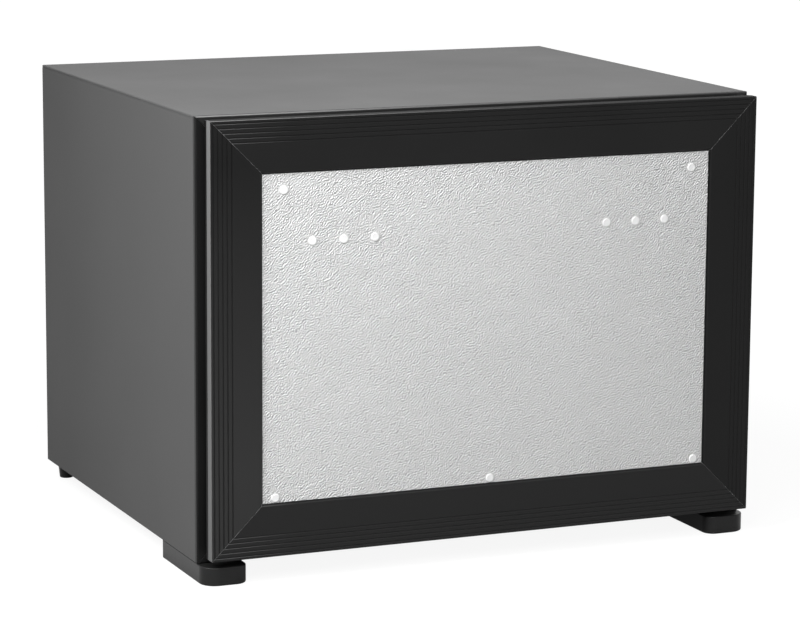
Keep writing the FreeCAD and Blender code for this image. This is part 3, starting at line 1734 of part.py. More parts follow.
def save_drawer():
    """The drawer front, the tub and everything that travels with them."""
    save_all("front_frame_", front_frame())
    save("front_panel", front_panel())
    save("fixing_hole_caps", hole_caps())
    save("front_foam", front_foam())
    save("front_inner_skin", front_pan())
    save("front_anchor_plates", front_anchors())
    save("front_seal", front_seal())
    save("seal_magnets", seal_magnets())
    save("side_rails", pair(side_rail()))
    save("rail_screws", rail_screws())
    save("rail_rivets", rail_rivets())
    save("runner_inner_channels", pair(runner_inner()))
    save("drawer_tub", drawer_tub())


def save_small_movers():
    """The middle runner members, the ball cages, the dividers and the temperature button."""
    middle = runner_middle()
    save_all("runner_middle_", {"left": middle, "right": mirrored(middle)})
    save("large_ball_cages", pair(large_cage()))
    save("small_ball_cages", pair(small_cage()))
    save_all("divider_", {"left": divider(-divider_side), "right": divider(divider_side)})
    save("temperature_button", temperature_button())


def save_cavity_fittings():
    """The cold plate and its tube, the drip parts and the lamp."""
    save("evaporator_fins", evaporator())
    save("evaporator_tube", evaporator_tube())
    save("evaporator_block", evaporator_block())
    save("drip_channel", drip_channel())
    save("drain_hose", drain_tube())
    save("drain_tray", drain_tray())
    save("lamp_housing", lamp_housing())
    save("lamp_lens", lamp_lens())
    save("lamp_board", lamp_board())


def save_cooling_unit():
    """The absorption unit behind the back panel and its control box."""
    save("absorber_vessel", vessel_and_pump_line())
    save("absorber_coil", absorber_coil())
    save("unit_brackets", vessel_cradles() + coil_clips() + condenser_brackets())
    save("boiler_and_condenser", boiler_and_condenser())
    save("condenser_fins", condenser_fins())
    save("boiler_jacket", boiler_jacket())
    save("boiler_wool", boiler_wool())
    save("heater_cartridge", heater_cartridge())
    save("gas_exchanger", gas_exchanger())
    save("control_box", control_box())
    save("control_cover", control_cover())
    save("mains_inlet", mains_inlet())


def main():
    """Builds every sub-part."""
    os.makedirs("parts", exist_ok=True)
    save_cabinet()
    save_drawer()
    save_small_movers()
    save_cavity_fittings()
    save_cooling_unit()


main()
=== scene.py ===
"""Looks of the drawer minibar fridge: materials, embossed panel, hole caps, rear screws, light and camera.

Lengths are metres. A name that ends in scale is how dense a noise is, in patterns per metre. A name that
ends in share or shares is a part of the size or value that it follows."""

import math

import bmesh
import bpy
from mathutils import Matrix, Vector, noise


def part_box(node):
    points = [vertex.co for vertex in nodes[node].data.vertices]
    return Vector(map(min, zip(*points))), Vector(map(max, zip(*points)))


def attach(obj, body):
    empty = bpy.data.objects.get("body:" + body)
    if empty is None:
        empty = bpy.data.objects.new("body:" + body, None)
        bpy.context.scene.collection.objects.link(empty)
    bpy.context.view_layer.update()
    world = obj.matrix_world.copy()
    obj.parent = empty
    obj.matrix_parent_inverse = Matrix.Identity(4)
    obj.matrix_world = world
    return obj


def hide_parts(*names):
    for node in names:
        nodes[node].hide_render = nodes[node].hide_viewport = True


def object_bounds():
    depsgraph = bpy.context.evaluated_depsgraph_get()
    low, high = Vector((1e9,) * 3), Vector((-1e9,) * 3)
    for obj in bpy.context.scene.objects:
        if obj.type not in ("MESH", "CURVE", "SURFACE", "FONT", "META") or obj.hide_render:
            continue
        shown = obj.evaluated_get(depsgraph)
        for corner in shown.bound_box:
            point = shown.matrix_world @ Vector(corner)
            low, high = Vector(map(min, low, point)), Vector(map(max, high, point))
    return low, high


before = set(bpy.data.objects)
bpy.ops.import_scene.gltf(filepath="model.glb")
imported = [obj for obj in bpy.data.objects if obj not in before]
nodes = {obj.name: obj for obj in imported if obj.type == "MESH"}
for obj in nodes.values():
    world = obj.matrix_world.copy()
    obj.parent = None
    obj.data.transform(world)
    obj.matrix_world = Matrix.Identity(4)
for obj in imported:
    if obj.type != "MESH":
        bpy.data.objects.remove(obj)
cad_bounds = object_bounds()

MM = 0.001

# Relief of the embossed panel
emboss_step = 0.48 * MM         # distance between the points of its face
emboss_depth = 0.50 * MM        # from the ridges to the hollows
ridge_spacing = 2.20 * MM
ridge_leans = [math.radians(lean) for lean in (38, 62, 12, 48, 88, -16)]  # how steeply ridges climb
ridge_shares = (0.34, 0.18, 0.30, 0.24, 0.06, 0.10)  # how much of each lean there is everywhere
ridge_wander_share = 0.50       # how far the ridges stray from straight, against their spacing
ridge_gain_share = 0.6          # how strongly the ridges rise and fall from the middle height
wander_size = 2.9 * MM          # over what length they stray
patch_size = 3.8 * MM           # size of the areas in which one lean prevails
patch_offset = Vector((0, 7, 0))  # the second set of patches is read this many patches away
relief_seed = 1                 # so that every run draws the same relief
emboss_margin = 0.8 * MM        # how far the relief reaches under the frame
hole_radius = 3.4 * MM
calm_radius = 4.4 * MM          # no relief nearer to a hole's centre
calm_share = 0.5                # how high the sheet lies there
calm_fade = 1.2 * MM            # over this the relief comes back

# Caps in the fixing holes, as shares of the cap's radius and of its height over the panel
cap_shares = ((0.0, 0.94), (0.56, 0.94), (0.68, 0.98), (0.80, 1.0), (0.93, 0.92), (0.99, 0.60), (1.0, 0.0))
cap_size_share = 0.93           # against the CAD cap, so that the light rim doesn't look too wide
cap_stem_share = 0.62
cap_segments = 48
cap_reach = 13.6 * MM           # points nearer than this to each other are of one cap

# Hexagon screws with a washer flange at the rear
flange_radius = 4.4 * MM
flange_height = 1.0 * MM
flange_segments = 48
hexagon_radius = 3.1 * MM
hexagon_sides = 6
screw_height = 3.0 * MM
screw_bevel = 0.3 * MM
screw_insets = {"back_panel": 9.0 * MM, "control_cover": 7.5 * MM}  # from the corners of these nodes

# Rounded edges of CAD nodes
frame_edge = 0.30 * MM
trim_edge = 0.50 * MM
weld_gap = 0.01 * MM
flat_angle = math.radians(0.6)  # faces that meet flatter than this are joined
edge_angle = math.radians(32)   # edges sharper than this are rounded
edge_segments = 2
edge_weight = 100               # how much the large faces decide the shading of the edges
crease_angle = math.radians(50)  # edges of the scene's pieces stay sharp from here

# Bands, grooves and mitres of the drawer front's frame
band_width = 9.2 * MM
band_blur = 0.2 * MM
band_skin = (0.45 * MM, 0.20 * MM)  # under the outer side, where the band's grey begins and is full
behind_skin = (2.5 * MM, 2.3 * MM)  # the same for the black behind the band
groove_first = 3.0 * MM         # from the front's outer edge to the middle of the first groove
groove_pitch = 4.3 * MM
groove_count = 5
groove_half = 0.65 * MM
groove_blur_shares = (0.8, 1.1)
groove_end_blur = 0.1 * MM
mitre_width = 0.28 * MM
mitre_blur_share = 1.5

# Masks and noises
rising = (0, 1)
falling = (1, 0)
noise_span = (0.3, 0.7)         # most values of a noise lie between these
mix_inputs = (6, 7)             # the sockets of a mix node that take its two colours
mix_output = 2                  # and the one that gives their blend
flat_normals = (0.90, 0.97)     # a face whose normal's z passes these counts as flat
leaning_normals = (0.20, 0.50)  # and past these as one that looks upwards
painted_glint_drop = (1.4 * MM, 1.1 * MM)  # under the front's top, where its own painted glint begins and is full
painted_glint_low_shares = (0.045, 0.155)  # of the width, where the painted glint of lower edges fades
painted_glint_low_rest = 0.04
painted_glint_top_shares = (0.03, 0.79)    # of the width, where the painted glint of the top edge fades
painted_glint_top_rest = 0.12
painted_sheen_shares = (0.24, 0.905)     # of the height, where the frame's painted sheen, a lighter grey low down, fades
painted_groove_shade_shares = (0.286, 0.857)  # of the height, where the painted shade in the grooves fades
painted_groove_shade_rest_share = 0.25

# Paint of the cabinet
paint_greys = (0.074, 0.083)
paint_fleck_grey = 0.093
paint_fleck_strength = 0.3
paint_roughness = (0.44, 0.52)
paint_shine = (0.10, 0.04)      # at the front and at the rear of the sides
paint_rear_shares = (0.08, 0.84)  # of the depth, over which the sides lose their shine
paint_cloud_scale = 7.0
paint_fleck_scale = 1500.0
paint_peel_scale = 420.0
paint_peel_depth = 0.4 * MM
paint_grain_scale = 2600.0
paint_grain_depth = 0.1 * MM

# Metals
metal_grain_scale = 60.0
metal_grain_depth = 0.2 * MM
metal_dark_share = 0.86
metal_roughness_shares = (0.85, 1.2)
spangle_scale = 110.0
spangle_light_share = 1.35

# Moulded plastics
plastic_cloud_scale = 14.0
plastic_grain_depth = 0.15 * MM
plastic_roughness_shares = (0.9, 1.1)
plastic_flat_shine = 0.02
haze_scale = 90.0
haze_depth = 0.2 * MM
haze_roughness_share = 1.6
clear_transmission = 0.9
clear_index = 1.49

# Black profile of the drawer front's frame
profile_line_scale = 900.0
profile_line_depth = 0.08 * MM
profile_line_share = 0.02       # how slowly its drawing lines change along the profile
profile_grain_scale = 3200.0
profile_grain_depth = 0.05 * MM
profile_cloud_scale = 11.0
profile_light_share = 1.4
profile_roughness = (0.36, 0.48)
profile_shine = (0.15, 0.01)    # where it is bare and where it is dull
# painted highlight on the mitre lines: lighter greys that drift by a noise
mitre_highlight_scale = 260.0
mitre_highlight_span = (0.45, 0.62)
painted_mitre_highlight_greys = (0.07, 0.20)
# grey of the painted glint, a painted highlight on upper edges
painted_glint_grey = 0.14
band_grey = 0.14
# grey of the painted shade in the grooves' floors
painted_groove_shade_grey = 0.002

# Lacquer of the embossed panel
# painted light and shade of the relief: hollows far darker than ridges
painted_hollow_shade_greys = (0.375, 0.390)
painted_ridge_light_greys = (0.850, 0.865)
panel_cloud_scale = 6.0
panel_relief_strength = 0.45
panel_grain_scale = 1150.0
panel_grain_stretch = (0.35, 1, 1)
panel_grain_depth = 0.2 * MM
panel_roughness = (0.38, 0.50)
panel_shine = 0.4

# Foam
foam_colours = ((0.78, 0.66, 0.38), (0.86, 0.76, 0.50))
foam_cell_scale = 700.0
foam_cell_span = (0, 0.6)
foam_cell_depth = 0.4 * MM
foam_roughness = 0.85

# Floor and surroundings
floor_reach = 14.0
floor_grey = 0.15
floor_roughness = 0.9
floor_glow = (0.90, 1.0)        # near the object and away from it
floor_glow_reach = (0.50, 1.10)
painted_shadow_share = 0.2      # how much of its glow mirrored rays see under the object, a painted shadow
painted_shadow_fade = 20.0 * MM         # how far the painted shadow under the object fades at its rim
world_fill = 0.08

# Lamps: where each is, where it aims, how wide it is, its power in watts and its beam in degrees
lamps = {
    "near_left": ((-1.14, -0.58, 1.04), (-0.27, -0.22, 0.36), 0.6, 6.2, 100),
    "near_front": ((-0.70, -1.30, 1.10), (-0.2, -0.2, 0.25), 0.6, 10, 180),
    "front": ((-0.60, -3.20, 1.80), (0, 0, 0.2), 1.5, 40, 180),
    "overhead": ((0.80, 0.90, 1.80), (0.1, 0, 0.4), 1.3, 13, 180),
}

# The photograph's camera, found from the object's corners. Its lens and sensor are in millimetres.
camera_lens = 146.66
camera_sensor = 36.0
camera_sight = 60.0             # how far it sees
camera_place = (-1.2307, -2.8773, 0.7691)
camera_forward = (0.38994, 0.90253, -0.18275)
camera_up = (0.06678, 0.17022, 0.98314)


# Nodes of a material

def new_material(name):
    """A material with its node tree and shader."""
    material = bpy.data.materials.new(name)
    material.use_nodes = True
    tree = material.node_tree
    shader = tree.nodes["Principled BSDF"]
    return material, tree, shader


def add_node(tree, kind, inputs=None, **settings):
    """A node with its settings and its inputs, which are values or other nodes' sockets."""
    node = tree.nodes.new(kind)
    for name, value in settings.items():
        setattr(node, name, value)
    for key, value in (inputs or {}).items():
        if isinstance(value, bpy.types.NodeSocket):
            tree.links.new(value, node.inputs[key])
        else:
            node.inputs[key].default_value = value
    return node


def calculate(tree, operation, first, second=0.0):
    """The result of one calculation on two values."""
    return add_node(tree, "ShaderNodeMath", {0: first, 1: second}, operation=operation).outputs[0]


def object_point(tree):
    """Object coordinates, which are metres in the part's frame."""
    return add_node(tree, "ShaderNodeTexCoord").outputs["Object"]


def split(tree, vector):
    """The x, y and z of a vector, by their capital letters."""
    return add_node(tree, "ShaderNodeSeparateXYZ", {"Vector": vector}).outputs


def surface_normal(tree):
    """The x, y and z of the surface's normal."""
    return split(tree, add_node(tree, "ShaderNodeNewGeometry").outputs["Normal"])


def noise_over(tree, point, scale, detail=3.0, roughness=0.5):
    """Noise over that point."""
    inputs = {"Vector": point, "Scale": scale, "Detail": detail, "Roughness": roughness}
    return add_node(tree, "ShaderNodeTexNoise", inputs).outputs["Fac"]


def stretched(tree, point, factors, turn=(0, 0, 0)):
    """The point turned and scaled along each axis, so that a pattern runs longer one way."""
    inputs = {"Vector": point, "Scale": factors, "Rotation": turn}
    return add_node(tree, "ShaderNodeMapping", inputs).outputs["Vector"]


def remap(tree, value, ends, span=noise_span):
    """The value carried from a span to two ends."""
    inputs = {"Value": value, "From Min": span[0], "From Max": span[1]}
    inputs |= {"To Min": ends[0], "To Max": ends[1]}
    return add_node(tree, "ShaderNodeMapRange", inputs).outputs["Result"]


def along(axis, shares):
    """Places along an axis of the object, at shares of its size."""
    low, high = (corner["XYZ".index(axis)] for corner in cad_bounds)
    return [low + share * (high - low) for share in shares]


def mix_colours(tree, factor, first, second):
    """A blend of two colours by a factor."""
    node = add_node(tree, "ShaderNodeMix", data_type="RGBA")
    tree.links.new(factor, node.inputs["Factor"])
    for index, colour in zip(mix_inputs, (first, second)):
        if isinstance(colour, bpy.types.NodeSocket):
            tree.links.new(colour, node.inputs[index])
        else:
            node.inputs[index].default_value = (*colour, 1)
    return node.outputs[mix_output]


def grey(value):
    """A neutral colour."""
    return (value, value, value)


def mix_greys(tree, factor, greys):
    """A blend of two greys by a factor."""
    return mix_colours(tree, factor, grey(greys[0]), grey(greys[1]))


def lightened(colour, share):
    """A colour times a share, which darkens it when the share is under 1."""
    return tuple(min(part * share, 1) for part in colour)


def shares_of(value, shares):
    """A value times each share."""
    return [value * share for share in shares]


def bump(tree, shader, height, strength, distance, below=None):
    """Feeds a height to the shader's normal, over any bump below it."""
    inputs = {"Height": height, "Strength": strength, "Distance": distance}
    if below is not None:
        inputs["Normal"] = below
    normal = add_node(tree, "ShaderNodeBump", inputs).outputs["Normal"]
    tree.links.new(normal, shader.inputs["Normal"])
    return normal


# Materials

def painted_sheet():
    """Dark grey satin powder coat with a faint orange peel and fine mottling. Its sides shine less towards
    the rear, where the room that they mirror is darker."""
    material, tree, shader = new_material("painted_sheet")
    point = object_point(tree)
    cloud = remap(tree, noise_over(tree, point, paint_cloud_scale), rising)
    fleck = remap(tree, noise_over(tree, point, paint_fleck_scale, detail=2.0), rising)
    strength = remap(tree, fleck, (0, paint_fleck_strength), rising)
    colour = mix_colours(tree, strength, mix_greys(tree, cloud, paint_greys), grey(paint_fleck_grey))
    tree.links.new(colour, shader.inputs["Base Color"])
    tree.links.new(remap(tree, cloud, paint_roughness, rising), shader.inputs["Roughness"])
    sideways = calculate(tree, "ABSOLUTE", surface_normal(tree)["X"])
    depth = remap(tree, split(tree, point)["Y"], rising, along("Y", paint_rear_shares))
    rearwards = calculate(tree, "MULTIPLY", sideways, depth)
    tree.links.new(remap(tree, rearwards, paint_shine, rising), shader.inputs["Specular IOR Level"])
    peel = noise_over(tree, point, paint_peel_scale, detail=1.0)
    below = bump(tree, shader, peel, strength=0.12, distance=paint_peel_depth)
    grain = noise_over(tree, point, paint_grain_scale, detail=2.0)
    bump(tree, shader, grain, strength=0.10, distance=paint_grain_depth, below=below)
    return material


def metal(name, colour, roughness, grain, spangle=0.0):
    """A bare or plated metal with rolling grain, and a zinc spangle where one is asked for."""
    material, tree, shader = new_material(name)
    point = object_point(tree)
    lines = noise_over(tree, stretched(tree, point, grain), metal_grain_scale, detail=4.0, roughness=0.6)
    dark = lightened(colour, metal_dark_share)
    shade = mix_colours(tree, remap(tree, lines, rising), dark, colour)
    if spangle:
        flakes = add_node(tree, "ShaderNodeTexVoronoi", {"Vector": point, "Scale": spangle_scale})
        level = remap(tree, flakes.outputs["Color"], (0, spangle), rising)
        shade = mix_colours(tree, level, shade, lightened(colour, spangle_light_share))
    tree.links.new(shade, shader.inputs["Base Color"])
    ends = shares_of(roughness, metal_roughness_shares)
    tree.links.new(remap(tree, lines, ends), shader.inputs["Roughness"])
    shader.inputs["Metallic"].default_value = 1.0
    bump(tree, shader, lines, strength=0.06, distance=metal_grain_depth)
    return material


def upward_masks(tree, axes, low_share):
    """Two masks: 1 on faces that lie flat upwards, and 1 on rounded edges that look upwards, which takes a
    painted glint. The second fades to the right, where less light reaches them. Under the drawer front's
    top edge it keeps only a share and fades sooner."""
    upwards = surface_normal(tree)["Z"]
    flat = remap(tree, upwards, rising, flat_normals)
    leaning = calculate(tree, "SUBTRACT", remap(tree, upwards, rising, leaning_normals), flat)
    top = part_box("front_frame_top")[1].z
    lit_low = remap(tree, axes["X"], (low_share, painted_glint_low_rest), along("X", painted_glint_low_shares))
    lit_top = remap(tree, axes["X"], (1, painted_glint_top_rest), along("X", painted_glint_top_shares))
    high = remap(tree, axes["Z"], rising, [top - drop for drop in painted_glint_drop])
    lit = calculate(tree, "MAXIMUM", lit_low, calculate(tree, "MULTIPLY", lit_top, high))
    return flat, calculate(tree, "MULTIPLY", leaning, lit)


def plastic(name, colour, roughness, grain_scale, grain_strength, drift=0.12, shine=0.5, painted_glint=None):
    """A moulded plastic with a slight colour drift, a fine surface grain and, where one is asked for, a
    painted
    glint: a lighter grey on its upper edges."""
    material, tree, shader = new_material(name)
    point = object_point(tree)
    cloud = remap(tree, noise_over(tree, point, plastic_cloud_scale, detail=2.0), rising)
    low, high = (lightened(colour, share) for share in (1 - drift, 1 + drift))
    shade = mix_colours(tree, cloud, low, high)
    grain = noise_over(tree, point, grain_scale, detail=2.0)
    ends = shares_of(roughness, plastic_roughness_shares)
    tree.links.new(remap(tree, grain, ends), shader.inputs["Roughness"])
    if painted_glint is None:
        shader.inputs["Specular IOR Level"].default_value = shine
    else:
        flat, edge = upward_masks(tree, split(tree, point), low_share=1)
        # painted glint: a lighter grey on the upper edges, standing in for the light they catch
        shade = mix_colours(tree, edge, shade, grey(painted_glint))
        level = remap(tree, flat, (shine, plastic_flat_shine), rising)
        tree.links.new(level, shader.inputs["Specular IOR Level"])
    tree.links.new(shade, shader.inputs["Base Color"])
    bump(tree, shader, grain, grain_strength, plastic_grain_depth)
    return material


def side_masks(tree, axes):
    """Two masks on the drawer front's outer sides: 1 on the grey band, and 1 on the black behind it."""
    low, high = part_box("front_frame_right")
    side = calculate(tree, "ABSOLUTE", axes["X"])
    band_end = low.y + band_width
    outwards = remap(tree, side, rising, [high.x - skin for skin in band_skin])
    forwards = remap(tree, axes["Y"], falling, (band_end, band_end + band_blur))
    band = calculate(tree, "MULTIPLY", outwards, forwards)
    beyond = remap(tree, side, rising, [high.x - skin for skin in behind_skin])
    behind = calculate(tree, "MULTIPLY", beyond, calculate(tree, "SUBTRACT", 1, forwards))
    return band, behind


def mitre_mask(tree, axes):
    """1 on the mitre lines of the drawer front's frame."""
    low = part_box("front_frame_right")[0]
    inner_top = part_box("front_frame_top")[0].z
    inner_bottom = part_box("front_frame_bottom")[1].z
    centred = calculate(tree, "SUBTRACT", axes["Z"], (inner_top + inner_bottom) / 2)
    half = (inner_top - inner_bottom) / 2
    above = calculate(tree, "SUBTRACT", calculate(tree, "ABSOLUTE", centred), half)
    beside = calculate(tree, "SUBTRACT", calculate(tree, "ABSOLUTE", axes["X"]), low.x)
    off = calculate(tree, "ABSOLUTE", calculate(tree, "SUBTRACT", beside, above))
    return remap(tree, off, falling, (mitre_width, mitre_width * mitre_blur_share))


def groove_mask(tree, axes):
    """1 in the grooves of the frame's uprights."""
    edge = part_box("front_frame_right")[1].x
    inwards = calculate(tree, "SUBTRACT", edge, calculate(tree, "ABSOLUTE", axes["X"]))
    from_first = calculate(tree, "SUBTRACT", inwards, groove_first)
    off = calculate(tree, "PINGPONG", from_first, groove_pitch / 2)
    inside = remap(tree, off, falling, shares_of(groove_half, groove_blur_shares))
    last = (groove_count - 1) * groove_pitch + groove_pitch / 2
    before_last = remap(tree, from_first, falling, (last, last + groove_end_blur))
    return calculate(tree, "MULTIPLY", inside, before_last)


def frame_profile(name, axis, base, haze_and_painted_sheen, painted_groove_shade=0.0):
    """Black satin profile with drawing lines along its axis, a grey band on the front's outer sides, a
    painted highlight on the mitre lines, painted shade in the grooves of the uprights, a painted glint on
    upper edges, and painted light, a lighter grey that grows downwards."""
    material, tree, shader = new_material(name)
    point = object_point(tree)
    axes = split(tree, point)
    factors = [profile_line_share if letter == axis else 1 for letter in "XYZ"]
    lines = noise_over(tree, stretched(tree, point, factors), profile_line_scale, roughness=0.6)
    cloud = remap(tree, noise_over(tree, point, profile_cloud_scale, detail=2.0), rising)
    band, behind = side_masks(tree, axes)
    flat, painted_glint = upward_masks(tree, axes, low_share=0.45)
    black = mix_greys(tree, cloud, (base, base * profile_light_share))
    # painted sheen: a lighter grey that grows downwards, standing in for the light the lower frame gets
    painted_sheen_mask = remap(tree, axes["Z"], falling, along("Z", painted_sheen_shares))
    shade = mix_colours(tree, painted_sheen_mask, black, grey(haze_and_painted_sheen))
    dull = calculate(tree, "MAXIMUM", behind, flat)
    # painted shade: the groove floors darkened, strongest low on the upright and fading upwards
    if painted_groove_shade:
        ends = (painted_groove_shade, painted_groove_shade * painted_groove_shade_rest_share)
        strength = remap(tree, axes["Z"], ends, along("Z", painted_groove_shade_shares))
        painted_shade_floors = calculate(tree, "MULTIPLY", groove_mask(tree, axes), strength)
        shade = mix_colours(tree, painted_shade_floors, shade, grey(painted_groove_shade_grey))
        dull = calculate(tree, "MAXIMUM", dull, painted_shade_floors)
    mitre_highlight_drift = remap(tree, noise_over(tree, point, mitre_highlight_scale, detail=2.0), rising, mitre_highlight_span)
    # painted highlight: the mitre lines in a lighter grey, standing in for the light their edges catch
    shade = mix_colours(tree, mitre_mask(tree, axes), shade, mix_greys(tree, mitre_highlight_drift, painted_mitre_highlight_greys))
    # painted glint: a lighter grey on upper edges, fading to the right where less light reaches them
    shade = mix_colours(tree, painted_glint, shade, grey(painted_glint_grey))
    shade = mix_colours(tree, band, shade, grey(band_grey))
    tree.links.new(shade, shader.inputs["Base Color"])
    tree.links.new(remap(tree, lines, profile_roughness), shader.inputs["Roughness"])
    tree.links.new(remap(tree, dull, profile_shine, rising), shader.inputs["Specular IOR Level"])
    fine = bump(tree, shader, lines, strength=0.06, distance=profile_line_depth)
    grain = noise_over(tree, point, profile_grain_scale, detail=2.0)
    bump(tree, shader, grain, strength=0.05, distance=profile_grain_depth, below=fine)
    return material


def embossed_panel():
    """Light grey lacquered sheet with painted light and shade, far paler on its ridges than in its hollows,
    with a fine grain that leans as the ridges do.
    """
    material, tree, shader = new_material("embossed_panel")
    point = object_point(tree)
    cloud = remap(tree, noise_over(tree, point, panel_cloud_scale, detail=2.0), rising)
    relief_height = add_node(tree, "ShaderNodeAttribute", attribute_name="relief").outputs["Fac"]
    hollows = mix_greys(tree, cloud, painted_hollow_shade_greys)
    ridges = mix_greys(tree, cloud, painted_ridge_light_greys)
    # painted light and shade: the colour follows the relief's height, dark in the hollows, pale on the
    # ridges
    tree.links.new(mix_colours(tree, relief_height, hollows, ridges), shader.inputs["Base Color"])
    turned = stretched(tree, point, panel_grain_stretch, (0, ridge_leans[0], 0))
    grain = noise_over(tree, turned, panel_grain_scale, roughness=0.6)
    tree.links.new(remap(tree, grain, panel_roughness), shader.inputs["Roughness"])
    shader.inputs["Specular IOR Level"].default_value = panel_shine
    fine = bump(tree, shader, grain, strength=0.5, distance=panel_grain_depth)
    bump(tree, shader, relief_height, panel_relief_strength, emboss_depth, below=fine)
    return material


def clear_plastic(name, colour, roughness):
    """Clear moulded plastic with a faint haze."""
    material, tree, shader = new_material(name)
    haze_and_painted_sheen = noise_over(tree, object_point(tree), haze_scale)
    ends = (roughness, roughness * haze_roughness_share)
    tree.links.new(remap(tree, haze_and_painted_sheen, ends), shader.inputs["Roughness"])
    shader.inputs["Base Color"].default_value = (*colour, 1)
    shader.inputs["Transmission Weight"].default_value = clear_transmission
    shader.inputs["IOR"].default_value = clear_index
    bump(tree, shader, haze_and_painted_sheen, strength=0.04, distance=haze_depth)
    return material


def insulation_foam():
    """Rigid foam with small cells."""
    material, tree, shader = new_material("insulation")
    inputs = {"Vector": object_point(tree), "Scale": foam_cell_scale}
    cells = add_node(tree, "ShaderNodeTexVoronoi", inputs).outputs["Distance"]
    colour = mix_colours(tree, remap(tree, cells, rising, foam_cell_span), *foam_colours)
    tree.links.new(colour, shader.inputs["Base Color"])
    shader.inputs["Roughness"].default_value = foam_roughness
    bump(tree, shader, cells, strength=0.4, distance=foam_cell_depth)
    return material


# Materials of the CAD nodes

def assign(material, names):
    """Gives a material to CAD nodes."""
    for name in names:
        data = nodes[name].data
        data.materials.clear()
        data.materials.append(material)


def soften(names, width):
    """Small rounded edges on CAD nodes, so that edges catch the light as moulded ones do."""
    for name in names:
        item = nodes[name]
        weld = item.modifiers.new("weld", "WELD")
        weld.merge_threshold = weld_gap
        flat = item.modifiers.new("flat", "DECIMATE")
        flat.decimate_type = "DISSOLVE"
        flat.angle_limit = flat_angle
        bevel = item.modifiers.new("bevel", "BEVEL")
        bevel.width = width
        bevel.segments = edge_segments
        bevel.limit_method = "ANGLE"
        bevel.angle_limit = edge_angle
        bevel.use_clamp_overlap = True
        bevel.miter_outer = "MITER_SHARP"
        normals = item.modifiers.new("normals", "WEIGHTED_NORMAL")
        normals.keep_sharp = False
        normals.weight = edge_weight


paint = painted_sheet()
zinc = metal("zinc_sheet", (0.56, 0.57, 0.58), roughness=0.42, grain=(0.05, 1, 1), spangle=0.6)
plated = metal("plated_steel", (0.62, 0.62, 0.60), roughness=0.32, grain=(1, 0.04, 1))
screw_metal = metal("screw_steel", (0.66, 0.66, 0.64), roughness=0.28, grain=(1, 1, 1))
aluminium = metal("aluminium", (0.78, 0.79, 0.80), roughness=0.34, grain=(1, 1, 0.05))
black_trim = plastic("black_trim", grey(0.008), roughness=0.42, grain_scale=1500.0, grain_strength=0.10,
                     shine=0.12)
# The top trim is the same black plastic as the other trims, painted a lighter black where more light falls
# on it, with a painted glint on its upper edges
trim_top = plastic("trim_top", grey(0.016), roughness=0.36, grain_scale=1500.0, grain_strength=0.10,
                   shine=0.2, painted_glint=0.20)
# One black profile in three copies, whose blacks, painted sheen and painted groove shade differ by how
# light falls on each member
frame_level = frame_profile("frame_level", "X", base=0.0056, haze_and_painted_sheen=0.013)
frame_left = frame_profile("frame_left", "Z", base=0.0036, haze_and_painted_sheen=0.027, painted_groove_shade=0.5)
frame_right = frame_profile("frame_right", "Z", base=0.0040, haze_and_painted_sheen=0.006)
panel_film = embossed_panel()
cap_white = plastic("cap_white", grey(0.92), roughness=0.38, grain_scale=1800.0, grain_strength=0.06,
                    drift=0.02)
foot_black = plastic("foot_black", grey(0.015), roughness=0.34, grain_scale=900.0, grain_strength=0.22,
                     shine=0.16)
seal_black = plastic("seal_black", grey(0.012), roughness=0.55, grain_scale=1200.0, grain_strength=0.12,
                     shine=0.25)
magnet_brown = plastic("magnet_brown", (0.07, 0.06, 0.055), roughness=0.7, grain_scale=1200.0,
                       grain_strength=0.15)
liner_white = plastic("liner_white", grey(0.80), roughness=0.30, grain_scale=500.0, grain_strength=0.08,
                      drift=0.02)
tub_grey = plastic("tub_grey", (0.66, 0.67, 0.68), roughness=0.38, grain_scale=1100.0, grain_strength=0.18,
                   drift=0.03)
divider_clear = clear_plastic("divider_clear", (0.80, 0.84, 0.86), roughness=0.14)
lens_clear = clear_plastic("lens_clear", (0.95, 0.96, 0.97), roughness=0.25)
unit_black = plastic("unit_black", grey(0.018), roughness=0.45, grain_scale=700.0, grain_strength=0.15,
                     drift=0.2)
control_black = plastic("control_black", grey(0.022), roughness=0.48, grain_scale=1300.0,
                        grain_strength=0.2)
board_white = plastic("board_white", (0.78, 0.80, 0.76), roughness=0.4, grain_scale=900.0,
                      grain_strength=0.05, drift=0.03)
foam_tan = insulation_foam()

assign(paint, ["cabinet_wrap"])
assign(zinc, ["base_plate", "back_panel", "runner_anchor_plates", "front_anchor_plates", "boiler_jacket"])
assign(plated, ["seal_strips", "runner_outer_channels", "runner_inner_channels", "runner_middle_left",
                "runner_middle_right", "large_ball_cages", "small_ball_cages", "side_rails",
                "heater_cartridge"])
assign(screw_metal, ["foot_screws", "runner_screws", "rail_screws", "rail_rivets"])
assign(aluminium, ["evaporator_fins"])
assign(trim_top, ["cabinet_trim_top"])
assign(black_trim, ["cabinet_trim_bottom", "cabinet_trim_left", "cabinet_trim_right", "temperature_button"])
assign(frame_level, ["front_frame_top", "front_frame_bottom"])
assign(frame_left, ["front_frame_left"])
assign(frame_right, ["front_frame_right"])
assign(panel_film, ["front_panel"])
assign(cap_white, ["fixing_hole_caps"])
assign(foot_black, ["front_feet", "rear_feet"])
assign(seal_black, ["front_seal"])
assign(magnet_brown, ["seal_magnets"])
assign(liner_white, ["inner_liner", "front_inner_skin", "drip_channel", "lamp_housing"])
assign(tub_grey, ["drawer_tub"])
assign(divider_clear, ["divider_left", "divider_right"])
assign(lens_clear, ["lamp_lens", "drain_hose"])
assign(unit_black, ["absorber_vessel", "absorber_coil", "gas_exchanger", "boiler_and_condenser",
                    "condenser_fins", "unit_brackets", "evaporator_tube"])
assign(control_black, ["control_box", "control_cover", "mains_inlet", "drain_tray"])
assign(board_white, ["lamp_board"])
